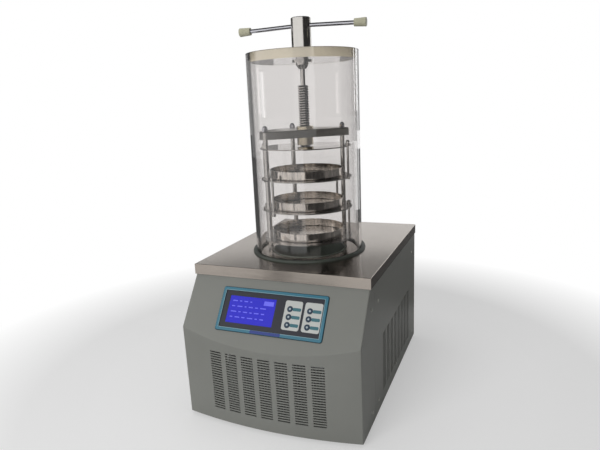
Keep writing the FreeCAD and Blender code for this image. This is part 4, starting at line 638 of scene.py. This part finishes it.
class StageSettings(bpy.types.PropertyGroup):
    """Floor, lamps, cards and camera."""
    floor: colour_property("Floor", "Pale floor", "#f4f4f4")
    dark_card: colour_property("Dark cards", "Cloth of the cards that polished faces show",
                               "#404040")
    mid_card: colour_property("Middle cards", "Cloth of the half-dark cards", "#686868")
    grey_card: colour_property("Grey cards", "Cloth of the lighter cards", "#a0a0a0")
    pale_card: colour_property("Pale cards", "Cloth of the palest cards", "#c4c4c4")
    key_power: power_property("Key lamp", "Power of the large front lamp", 37)
    top_power: power_property("Top lamp", "Power of the lamp overhead", 14)
    left_power: power_property("Left strip", "Power of the left upright strip", 0.6)
    right_power: power_property("Right strip", "Power of the right-hand strip", 6)
    sky: FloatProperty(name="Room light", description="Strength of the even room light",
                       min=0, max=2, default=0.2)
    lens: FloatProperty(name="Lens", description="Focal length of the camera, in millimetres",
                        min=1, default=32.16)


# ------------------------------------------------------------------ operators
class FREEZEDRYER_OT_cabinet(bpy.types.Operator):
    """Paint the panels, brush the top plate and dress the frame under them"""
    bl_idname = "freezedryer.cabinet"
    bl_label = "Cabinet panels"

    def execute(self, context):
        cabinet = context.scene.freezedryer_cabinet
        dress(powder_coated_steel("powder_coated_steel_sheet", cabinet.paint), "front_panel",
              "left_side_panel", "right_side_panel", "rear_panel", "base_tray")
        dress(brushed_stainless("belt_brushed_stainless", cabinet.stainless, 0.17), "top_plate")
        dress(galvanised_steel("galvanised_steel_tube", cabinet.zinc), "corner_posts")
        dress(moulded_rubber("moulded_black_rubber", cabinet.rubber), "rubber_feet")
        return {"FINISHED"}


class FREEZEDRYER_OT_panel_screws(bpy.types.Operator):
    """Cut cross recesses in the heads of the panel screws"""
    bl_idname = "freezedryer.panel_screws"
    bl_label = "Panel screws"

    def execute(self, context):
        cabinet = context.scene.freezedryer_cabinet
        steel = turned_metal("zinc_plated_screw_steel", linear("#c4c3bd"), 0.3, 0)
        shells = [self.screw(head, outward, cabinet.head_radius, cabinet.recess_width / 2)
                  for head, outward in self.heads(cabinet.head_radius)]
        new_piece("cross_head_screws", *joined(shells), steel, "cabinet", "screw_steel",
                  ["panel_screws"])
        return {"FINISHED"}

    def heads(self, radius):
        """The middle of each head's outer face, and the way it faces."""
        mesh = frame["nodes"]["panel_screws"].data
        low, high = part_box("panel_screws")
        one_head = 2.5 * radius  # points nearer than this to each other are on one head
        found = []
        for axis, face, sign in ((0, low.x, -1), (0, high.x, 1), (1, high.y, 1)):
            outward = Vector((0, 0, 0))
            outward[axis] = sign
            spots = []
            for corner in mesh.vertices:
                if abs(corner.co[axis] - face) < 2 * ROUNDING:
                    for spot in spots:
                        if (spot[0] - corner.co).length < one_head:
                            spot.append(corner.co.copy())
                            break
                    else:
                        spots.append([corner.co.copy()])
            found += [(sum(spot, Vector()) / len(spot), outward) for spot in spots]
        return found

    def screw(self, head, outward, radius, arm):
        """A pan head with a cross recess, and its shank; sized like the CAD screw."""
        along = Vector((0, 0, 1))
        beside = along.cross(outward)
        height, shank, length = 2.0 * MM, 1.8 * MM, 6.0 * MM
        dome = 0.6 * height
        recess, recess_depth = 0.62 * radius, 0.9 * MM
        sides, steps = 40, 19

        def ring(reach, lift):
            made = []
            for step in range(sides):
                turn = math.tau * step / sides
                across, up = reach * math.cos(turn), reach * math.sin(turn)
                near, far = sorted((abs(across), abs(up)))
                sunk = recess_depth if near < arm and far < recess else 0.0
                made.append(head + beside * across + along * up + outward * (lift - sunk))
            return made
        rings = [ring(shank, -height - length), ring(shank, -height), ring(radius, -height),
                 ring(radius, -dome)]
        for step in range(1, steps):
            share = 1 - step / steps
            rings.append(ring(radius * share, -dome * share ** 3))
        return loft(rings)


class FREEZEDRYER_OT_console(bpy.types.Operator):
    """Finish the console frame, overlay, key plates and keys"""
    bl_idname = "freezedryer.console"
    bl_label = "Console"

    def execute(self, context):
        console = context.scene.freezedryer_console
        dress(gloss_enamel("stoved_teal_enamel", console.frame), "control_frame")
        dress(polyester_film("grey_polyester_film", console.film), "keypad_overlay")
        dress(polyester_film("ivory_polyester_film", console.plate, 0.42), "key_plates")
        dress(moulded_plastic("moulded_key_abs", console.key, 0.3, 0.5), *KEYS)
        dress(lit_liquid_crystal("lit_liquid_crystal", console.screen, console.glow),
              "display_module")
        dress(lacquered_board("lacquered_glass_fibre_board",
                              context.scene.freezedryer_inside.board), "controller_board")
        return {"FINISHED"}


class FREEZEDRYER_OT_console_trim(bpy.types.Operator):
    """Add the painted shade band round the frame, its pale inner edge line and the bare strip"""
    bl_idname = "freezedryer.console_trim"
    bl_label = "Console trim"

    def execute(self, context):
        console = context.scene.freezedryer_console
        width, height = 266.0, 104.5  # outside of the frame
        rim, proud = 7.5, 3.0  # the frame's width and how far it stands off the slope
        hair = 0.02  # a gap or a lap too small to see

        def inside(inset, corner):
            return round_rectangle(width - 2 * inset, height - 2 * inset, corner)
        # a dark band round the frame's foot: painted shade for the shade line round the frame
        shade_band = console_band(inside(-1.2, 6), inside(0.2, 5), hair, 0.9)
        new_piece("frame_gasket", *shade_band, moulded_rubber("nitrile_gasket", console.shade_band),
                  "cabinet", "black_rubber")
        # a pale line along the frame's inner top edge
        line = console_band(inside(rim - 1.0, 1.6), inside(rim - 0.1, 0.7),
                            proud - hair, proud + 0.06)
        new_piece("frame_trim_line", *line, gloss_enamel("pale_line_enamel", console.line),
                  "cabinet", "frame_teal")
        strip = console_plate(round_rectangle(76, rim - 0.6, 1.0), -4, -(height - rim) / 2,
                              proud - hair, proud + 0.12, 0.08)
        new_piece("bare_rim_strip", *strip, gloss_enamel("blue_strip_enamel", console.strip),
                  "cabinet", "frame_teal")
        return {"FINISHED"}


class FREEZEDRYER_OT_key_marks(bpy.types.Operator):
    """Add the light spot on each key and the bare label bar beside it"""
    bl_idname = "freezedryer.key_marks"
    bl_label = "Key marks"

    def execute(self, context):
        console = context.scene.freezedryer_console
        spot = moulded_plastic("inlaid_white_abs", console.mark, 0.32, 0.5)
        ink = polyester_film("teal_printed_film", console.bar, 0.4)
        sides = 24
        dome = ((2.3, -0.02), (2.3, 0.05), (2.0, 0.14), (1.1, 0.2), (0.3, 0.22))
        label, label_away = round_rectangle(20.5, 7.6, 2.6), 16.8
        label_floor, label_top, ease = 1.79, 1.87, 0.05
        bars = []
        for key in KEYS:
            top = far_end(key, OUTWARD)
            rings = [[top + (ACROSS * math.cos(math.tau * step / sides)
                             + UP_SLOPE * math.sin(math.tau * step / sides))
                      * reach * MM + OUTWARD * lift * MM for step in range(sides)]
                     for reach, lift in dome]
            new_piece(f"{key}_spot", *loft(rings), spot, key, "key_plate_white")
            flat = top - CONSOLE_MIDDLE
            bars.append(console_plate(label, flat.dot(ACROSS) / MM + label_away,
                                      flat.dot(UP_SLOPE) / MM, label_floor, label_top, ease))
        new_piece("bare_label_bars", *joined(bars), ink, "cabinet", "frame_teal")
        return {"FINISHED"}


class FREEZEDRYER_OT_screen_traces(bpy.types.Operator):
    """Draw the plain bars and the box that the lit screen shows"""
    bl_idname = "freezedryer.screen_traces"
    bl_label = "Screen traces"

    def execute(self, context):
        console = context.scene.freezedryer_console
        pale = lit_liquid_crystal("lit_pale_segments", console.trace, console.glow)
        middle, wide, tall = -51.6, 119.3, 64.6  # the lit field on the console
        floor, top, corner = 0.88, 0.93, 0.25
        shells = []

        def bar(left, low, right, high):
            """A bar between two shares of the field's width and two of its height."""
            outline = round_rectangle((right - left) * wide, (high - low) * tall, corner, 2)
            shells.append(console_plate(outline, middle + ((left + right) / 2 - 0.5) * wide,
                                        ((low + high) / 2 - 0.5) * tall, floor, top))
        bar(0.75, 0.74, 0.96, 0.90)
        margin, space, first_row, row_step, thickness = 0.07, 0.05, 0.80, 0.2, 0.04
        rows = ((0.10, 0.05, 0.08, 0.04), (0.07, 0.11, 0.04, 0.09, 0.06, 0.12),
                (0.12, 0.05, 0.09, 0.05, 0.10, 0.07), (0.06, 0.10, 0.07, 0.12, 0.05, 0.08))
        for row, widths in enumerate(rows):
            low, left = first_row - row_step * row, margin
            for width in widths:
                bar(left, low, left + width, low + thickness)
                left += width + space
        new_piece("screen_traces", *joined(shells), pale, "cabinet", "display_blue")
        return {"FINISHED"}


class FREEZEDRYER_OT_chamber(bpy.types.Operator):
    """Polish the clear tube and lid and dress the seal and the gland"""
    bl_idname = "freezedryer.chamber"
    bl_label = "Chamber"

    def execute(self, context):
        chamber = context.scene.freezedryer_chamber
        dress(clear_acrylic("polished_cast_acrylic", chamber.acrylic), "chamber_tube")
        dress(sawn_acrylic("sawn_rim_acrylic", chamber.acrylic, chamber.sawn_edge),
              "chamber_lid")
        dress(moulded_rubber("moulded_seal_rubber", chamber.seal, 0.5), "seal_ring")
        dress(turned_metal("turned_stainless", chamber.steel, 0.13), "shaft_gland", "gland_nut",
              "drive_shaft", "rack_columns", "screw_retainer", "upper_hangers",
              "middle_hangers", "lower_hangers")
        return {"FINISHED"}


class FREEZEDRYER_OT_rack(bpy.types.Operator):
    """Finish the rack's plates, shelves, trays and nuts"""
    bl_idname = "freezedryer.rack"
    bl_label = "Shelf rack"

    def execute(self, context):
        chamber = context.scene.freezedryer_chamber
        press = context.scene.freezedryer_press
        dress(bright_chrome("chromium_plated_press_plate", chamber.sheet), "press_plate")
        dress(brushed_stainless("brushed_shelf_steel", chamber.sheet, 0.24), "upper_shelf",
              "middle_shelf", "lower_shelf")
        dress(polished_stainless("buffed_tray_steel", chamber.tray), "upper_tray",
              "middle_tray", "lower_tray")
        dress(bushed_aluminium("turned_aluminium_plate", chamber.plate, chamber.bronze,
                               self.plate_floor()), "rack_top_plate")
        dress(turned_metal("turned_bronze", chamber.bronze, 0.26), "screw_nut")
        dress(bright_chrome("bright_chromium_plate", press.chrome), "column_nuts")
        return {"FINISHED"}

    def plate_floor(self):
        """The height of the plate's underside, over the boss that it carries."""
        middle, clear_of_boss = centre("screw_nut").xy, 40 * MM
        return min(corner.co.z for corner in frame["nodes"]["rack_top_plate"].data.vertices
                   if (corner.co.xy - middle).length > clear_of_boss)


class FREEZEDRYER_OT_press_screw(bpy.types.Operator):
    """Cut the trapezoidal thread of the press screw"""
    bl_idname = "freezedryer.press_screw"
    bl_label = "Press screw"

    def execute(self, context):
        press = context.scene.freezedryer_press
        low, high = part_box("press_screw")
        crest = (high.x - low.x) / 2
        # the thread's roots carry painted shade, darkest at the root
        steel = greased_thread_steel("greased_thread_steel", press.thread,
                                     centre("press_screw"), crest - press.depth, crest)
        new_piece("threaded_press_screw", *loft(self.rings(press)), steel, "screw",
                  "stainless_steel", ["press_screw"])
        return {"FINISHED"}

    def rings(self, press):
        """The screw's outline from its foot up, and down again inside its socket."""
        low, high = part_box("press_screw")
        middle = centre("press_screw")
        radius, journal, journal_length = (high.x - low.x) / 2, 8 * MM, 11.3 * MM
        half_flats, socket_depth = 5.1 * MM, 51 * MM
        chamfer, foot_chamfer = 1.5 * MM, 0.6 * MM
        lead, depth, sides, rings_a_turn = press.lead, press.depth, press.sides, 12
        shoulder = low.z + journal_length
        flat, flank = 0.37, 0.13  # shares of the lead: crest and root, and each side

        def thread(turn, height):
            """How deep the thread is cut at a turn and a height."""
            share = (height / lead - turn / math.tau) % 1
            if share < flat:
                return 0.0
            if share < flat + flank:
                return depth * (share - flat) / flank
            if share < 2 * flat + flank:
                return depth
            return depth * (1 - share) / flank

        def ring(height, radius_at):
            made = []
            for step in range(sides):
                turn = math.tau * step / sides
                out = radius_at(turn, height)
                made.append(Vector((middle.x + out * math.cos(turn),
                                    middle.y + out * math.sin(turn), height)))
            return made

        def hexagon(turn, height):
            sixth = math.pi / 3
            return half_flats / math.cos((turn + sixth / 2) % sixth - sixth / 2)
        rings = [ring(low.z, lambda turn, height: journal - foot_chamfer),
                 ring(low.z + foot_chamfer, lambda turn, height: journal),
                 ring(shoulder, lambda turn, height: journal),
                 ring(shoulder, lambda turn, height: radius - depth)]
        steps = int((high.z - shoulder) / (lead / rings_a_turn))
        for step in range(steps + 1):
            height = shoulder + (high.z - shoulder) * step / steps
            ease = max(0.0, chamfer - (high.z - height), chamfer - (height - shoulder))
            rings.append(ring(height, lambda turn, at: min(radius - thread(turn, at),
                                                           radius - ease)))
        return rings + [ring(high.z, hexagon), ring(high.z - socket_depth, hexagon)]


class FREEZEDRYER_OT_handle(bpy.types.Operator):
    """Finish the handle's hub, arms and caps"""
    bl_idname = "freezedryer.handle"
    bl_label = "Handle"

    def execute(self, context):
        press = context.scene.freezedryer_press
        dress(turned_metal("bright_turned_hub", press.hub, 0.16), "handle_hub")
        dress(bright_chrome("chromium_plated_bar", press.chrome), "handle_arms")
        dress(moulded_plastic("moulded_cap_polypropylene", press.cap, 0.4, 0.9),
              "handle_caps")
        return {"FINISHED"}


class FREEZEDRYER_OT_cold_trap(bpy.types.Operator):
    """Finish the cold trap, its coil and its insulation"""
    bl_idname = "freezedryer.cold_trap"
    bl_label = "Cold trap"

    def execute(self, context):
        inside = context.scene.freezedryer_inside
        dress(blasted_stainless("bead_blasted_trap_stainless", inside.trap), "trap_vessel")
        dress(drawn_copper("drawn_copper_tube", inside.copper), "evaporator_coil",
              "refrigerant_pipes")
        dress(poured_foam("poured_polyurethane_foam", inside.foam), "trap_insulation")
        return {"FINISHED"}


class FREEZEDRYER_OT_machinery(bpy.types.Operator):
    """Finish the compressor, condenser, fan and motor"""
    bl_idname = "freezedryer.machinery"
    bl_label = "Machinery"

    def execute(self, context):
        inside = context.scene.freezedryer_inside
        dress(powder_coated_steel("black_casing_paint", inside.black, 0.35), "compressor",
              "fan_motor")
        dress(mill_aluminium("mill_finish_fins", inside.fins), "condenser_coil")
        dress(moulded_plastic("moulded_fan_nylon", inside.mould, 0.45), "fan_blades")
        return {"FINISHED"}


class FREEZEDRYER_OT_rear_fittings(bpy.types.Operator):
    """Finish the vacuum port, drain, mains inlet and power switch"""
    bl_idname = "freezedryer.rear_fittings"
    bl_label = "Rear fittings"

    def execute(self, context):
        inside = context.scene.freezedryer_inside
        steel = context.scene.freezedryer_chamber.steel
        dress(turned_metal("turned_port_stainless", steel, 0.24, 1), "vacuum_port",
              "drain_pipe")
        dress(turned_metal("turned_brass", inside.brass, 0.2, 1), "drain_valve")
        dress(moulded_plastic("dipped_red_vinyl", inside.lever, 0.3), "drain_lever")
        dress(moulded_plastic("moulded_black_nylon", inside.mould, 0.4), "power_inlet",
              "rocker_housing")
        dress(moulded_plastic("glossy_black_polycarbonate", inside.mould, 0.18, 0.5),
              "power_rocker")
        return {"FINISHED"}


# The stage's places are in metres, and in degrees from straight in front to the right.
# name, degrees, reach, height, size, power, whether polished faces show it
LAMPS = (
    ("key_lamp", -13, 2.8, 1.35, (1.5, 1.3), "key_power", False),
    ("top_lamp", -100, 0.3, 2.4, (1.6, 1.6), "top_power", False),
    ("left_strip_lamp", -67, 2.0, 0.8, (0.3, 0.26), "left_power", True),
    ("right_strip_lamp", 150, 4.0, 0.95, (1.5, 0.6), "right_power", True),
)
# name, first and last degrees, (reach, height) of one edge and of the other, shade
CARDS = (
    ("right_card", 43, 150, (1.3, 0.56), (1.3, 0.68), "grey"),
    ("high_right_card", 43, 150, (1.3, 0.68), (1.3, 1.8), "dark"),
    ("low_right_card", 16, 72, (1.25, 0.0), (1.25, 0.56), "mid"),
    ("low_far_right_card", 72, 140, (1.25, 0.0), (1.25, 0.56), "grey"),
    ("low_window_bar", -22, -18, (1.25, 0.0), (1.25, 0.56), "grey"),
    ("low_left_card", -125, -76, (1.3, 0.0), (1.3, 0.5), "mid"),
    ("left_card", -125, -82, (1.3, 0.5), (1.3, 0.95), "grey"),
    ("high_left_card", -125, -82, (1.3, 0.95), (1.3, 1.8), "dark"),
    ("left_rear_card", -152, -125, (1.5, 0.0), (1.5, 0.62), "mid"),
    ("near_left_card", -148, -118, (0.85, 0.63), (0.85, 1.2), "pale"),
    ("near_rear_card", 164, 188, (0.85, 0.63), (0.85, 1.2), "pale"),
    ("low_rear_card", 165, 200, (1.5, 0.0), (1.5, 0.5), "grey"),
    ("ceiling_card", 0, 360, (0.01, 2.0), (1.85, 2.0), "mid"),
    ("floor_card", -100, -8, (0.62, 2 * MM), (1.15, 2 * MM), "dark"),
    ("right_floor_card", 20, 185, (0.62, 2 * MM), (2.4, 2 * MM), "mid"),
)
LAMP_AIM = Vector((0, 0, 0.5))  # the machine's middle
CAMERA_PLACE = (0.51203, -1.31704, 0.74960)
CAMERA_TURNS = (77.1357, 2.3963, 21.9590)  # in degrees
WHITE = (1, 1, 1, 1)


class FREEZEDRYER_OT_stage(bpy.types.Operator):
    """Set the floor, the lamps, the room light and the camera"""
    bl_idname = "freezedryer.stage"
    bl_label = "Stage"

    def execute(self, context):
        stage = context.scene.freezedryer_stage
        self.floor(stage)
        for name, *place, size, power, mirrored in LAMPS:
            self.lamp(name, *place, size, getattr(stage, power), mirrored)
        for name, start, end, first, last, shade in CARDS:
            self.card(name, start, end, first, last, getattr(stage, shade + "_card"))
        self.room(context.scene, stage)
        self.camera(context.scene, stage)
        context.scene.view_settings.view_transform = "Standard"
        return {"FINISHED"}

    def floor(self, stage):
        """A wide pale floor that fades to plain white away from the machine."""
        half = 14.0  # half of its width, in metres
        mesh = bpy.data.meshes.new("pale_floor")
        mesh.from_pydata([(-half, -half, 0), (half, -half, 0), (half, half, 0),
                          (-half, half, 0)], [], [(0, 1, 2, 3)])
        floor = add_object("pale_floor", mesh)
        material, tree, surface = new_material("pale_studio_floor", stage.floor, Roughness=0.9)
        # metres from the middle, and the least share of white that the camera sees
        fade_from, white_from, least = 0.5, 1.2, 0.4
        place = add_node(tree, "NewGeometry").outputs["Position"]
        away = add_node(tree, "VectorMath", {0: place}, operation="LENGTH").outputs["Value"]
        far = ramp(tree, away, 0.0, 1.0, fade_from, white_from)
        room = add_node(tree, "Math", {0: self.seen_rays(tree), 1: far},
                        operation="MULTIPLY").outputs[0]
        near = add_node(tree, "Math", {0: add_node(tree, "LightPath").outputs["Is Camera Ray"],
                                       1: least}, operation="MULTIPLY").outputs[0]
        share = add_node(tree, "Math", {0: room, 1: near}, operation="MAXIMUM").outputs[0]
        white = add_node(tree, "Emission", {"Color": WHITE, "Strength": 1.0})
        show_mixed(tree, share, surface, white)
        mesh.materials.append(material)

    def around(self, degrees, reach, height):
        """A point round the machine: degrees from straight in front, to its right."""
        turn = math.radians(degrees)
        return Vector((reach * math.sin(turn), -reach * math.cos(turn), height))

    def card(self, name, start, end, first, last, shade):
        """A card bent round the machine between two edges, shown only by polished faces."""
        steps = 16
        turns = [start + (end - start) * step / steps for step in range(steps + 1)]
        points = [self.around(turn, *edge) for edge in (first, last) for turn in turns]
        faces = [(step, step + 1, step + steps + 2, step + steps + 1) for step in range(steps)]
        mesh = bpy.data.meshes.new(name)
        mesh.from_pydata([tuple(point) for point in points], [], faces)
        material, tree, surface = new_material("card_cloth", shade, Roughness=0.9)
        # a ray that no polished face has turned back goes on to the white room
        turned_back = add_node(tree, "LightPath").outputs["Glossy Depth"]
        shown = add_node(tree, "Math", {0: turned_back, 1: 1.0}, operation="MINIMUM").outputs[0]
        show_mixed(tree, shown, add_node(tree, "BsdfTransparent"), surface)
        mesh.materials.append(material)
        card = add_object(name, mesh)
        card.visible_camera = False
        card.visible_diffuse = False
        card.visible_shadow = False

    def lamp(self, name, degrees, reach, height, size, power, mirrored):
        """A soft rectangular lamp that faces the machine's middle."""
        lamp = bpy.data.lights.new(name, "AREA")
        lamp.shape = "RECTANGLE"
        lamp.size, lamp.size_y = size
        lamp.energy = power
        thing = add_object(name, lamp)
        thing.location = self.around(degrees, reach, height)
        aim = LAMP_AIM - thing.location
        thing.rotation_euler = aim.to_track_quat("-Z", "Y").to_euler()
        thing.visible_camera = False
        thing.visible_glossy = mirrored
        thing.visible_transmission = mirrored

    def seen_rays(self, tree):
        """One for the camera's rays and for those that metal and clear walls pass on."""
        path = add_node(tree, "LightPath")
        seen = add_node(tree, "Math", {0: path.outputs["Is Camera Ray"],
                                       1: path.outputs["Is Transmission Ray"]},
                        operation="MAXIMUM").outputs[0]
        return add_node(tree, "Math", {0: seen, 1: path.outputs["Is Glossy Ray"]},
                        operation="MAXIMUM").outputs[0]

    def room(self, scene, stage):
        """Even room light; the camera, mirrors and clear walls see plain white."""
        world = bpy.data.worlds.new("studio_room")
        world.use_nodes = True
        tree = world.node_tree
        tree.nodes.clear()
        seen = self.seen_rays(tree)
        white = add_node(tree, "Background", {"Color": WHITE, "Strength": 1.0})
        soft = add_node(tree, "Background", {"Color": WHITE, "Strength": stage.sky})
        mixed = add_node(tree, "MixShader", {0: seen, 1: soft.outputs[0], 2: white.outputs[0]})
        add_node(tree, "OutputWorld", {"Surface": mixed.outputs[0]})
        scene.world = world

    def camera(self, scene, stage):
        """The camera stands front right of the machine and looks a little down on it."""
        camera = bpy.data.cameras.new("studio_camera")
        camera.sensor_width = 36.0
        camera.lens = stage.lens
        camera.clip_end = 60.0
        thing = add_object("studio_camera", camera)
        thing.location = CAMERA_PLACE
        thing.rotation_euler = Euler([math.radians(turn) for turn in CAMERA_TURNS])
        scene.camera = thing


OPERATORS = (
    FREEZEDRYER_OT_cabinet,
    FREEZEDRYER_OT_panel_screws,
    FREEZEDRYER_OT_console,
    FREEZEDRYER_OT_console_trim,
    FREEZEDRYER_OT_key_marks,
    FREEZEDRYER_OT_screen_traces,
    FREEZEDRYER_OT_chamber,
    FREEZEDRYER_OT_rack,
    FREEZEDRYER_OT_press_screw,
    FREEZEDRYER_OT_handle,
    FREEZEDRYER_OT_cold_trap,
    FREEZEDRYER_OT_machinery,
    FREEZEDRYER_OT_rear_fittings,
    FREEZEDRYER_OT_stage,
)
SETTINGS = {
    "freezedryer_cabinet": CabinetSettings,
    "freezedryer_console": ConsoleSettings,
    "freezedryer_chamber": ChamberSettings,
    "freezedryer_press": PressSettings,
    "freezedryer_inside": InsideSettings,
    "freezedryer_stage": StageSettings,
}


class FREEZEDRYER_PT_panel(bpy.types.Panel):
    """Buttons and settings for each group of pieces."""
    bl_idname = "FREEZEDRYER_PT_panel"
    bl_label = "Freeze dryer"
    bl_space_type = "VIEW_3D"
    bl_region_type = "UI"
    bl_category = "Freeze dryer"

    def draw(self, context):
        for operator in OPERATORS:
            self.layout.operator(operator.bl_idname)
        for name, group in SETTINGS.items():
            box = self.layout.box()
            box.label(text=group.__doc__)
            for setting in group.__annotations__:
                box.prop(getattr(context.scene, name), setting)


def register():
    for group in SETTINGS.values():
        bpy.utils.register_class(group)
    for operator in OPERATORS:
        bpy.utils.register_class(operator)
    bpy.utils.register_class(FREEZEDRYER_PT_panel)
    for name, group in SETTINGS.items():
        setattr(bpy.types.Scene, name, PointerProperty(type=group))


def unregister():
    for name in SETTINGS:
        delattr(bpy.types.Scene, name)
    bpy.utils.unregister_class(FREEZEDRYER_PT_panel)
    for operator in reversed(OPERATORS):
        bpy.utils.unregister_class(operator)
    for group in reversed(list(SETTINGS.values())):
        bpy.utils.unregister_class(group)


def main():
    register()
    for operator in OPERATORS:
        group, name = operator.bl_idname.split(".")
        getattr(getattr(bpy.ops, group), name)()


if __name__ == "__main__":
    main()
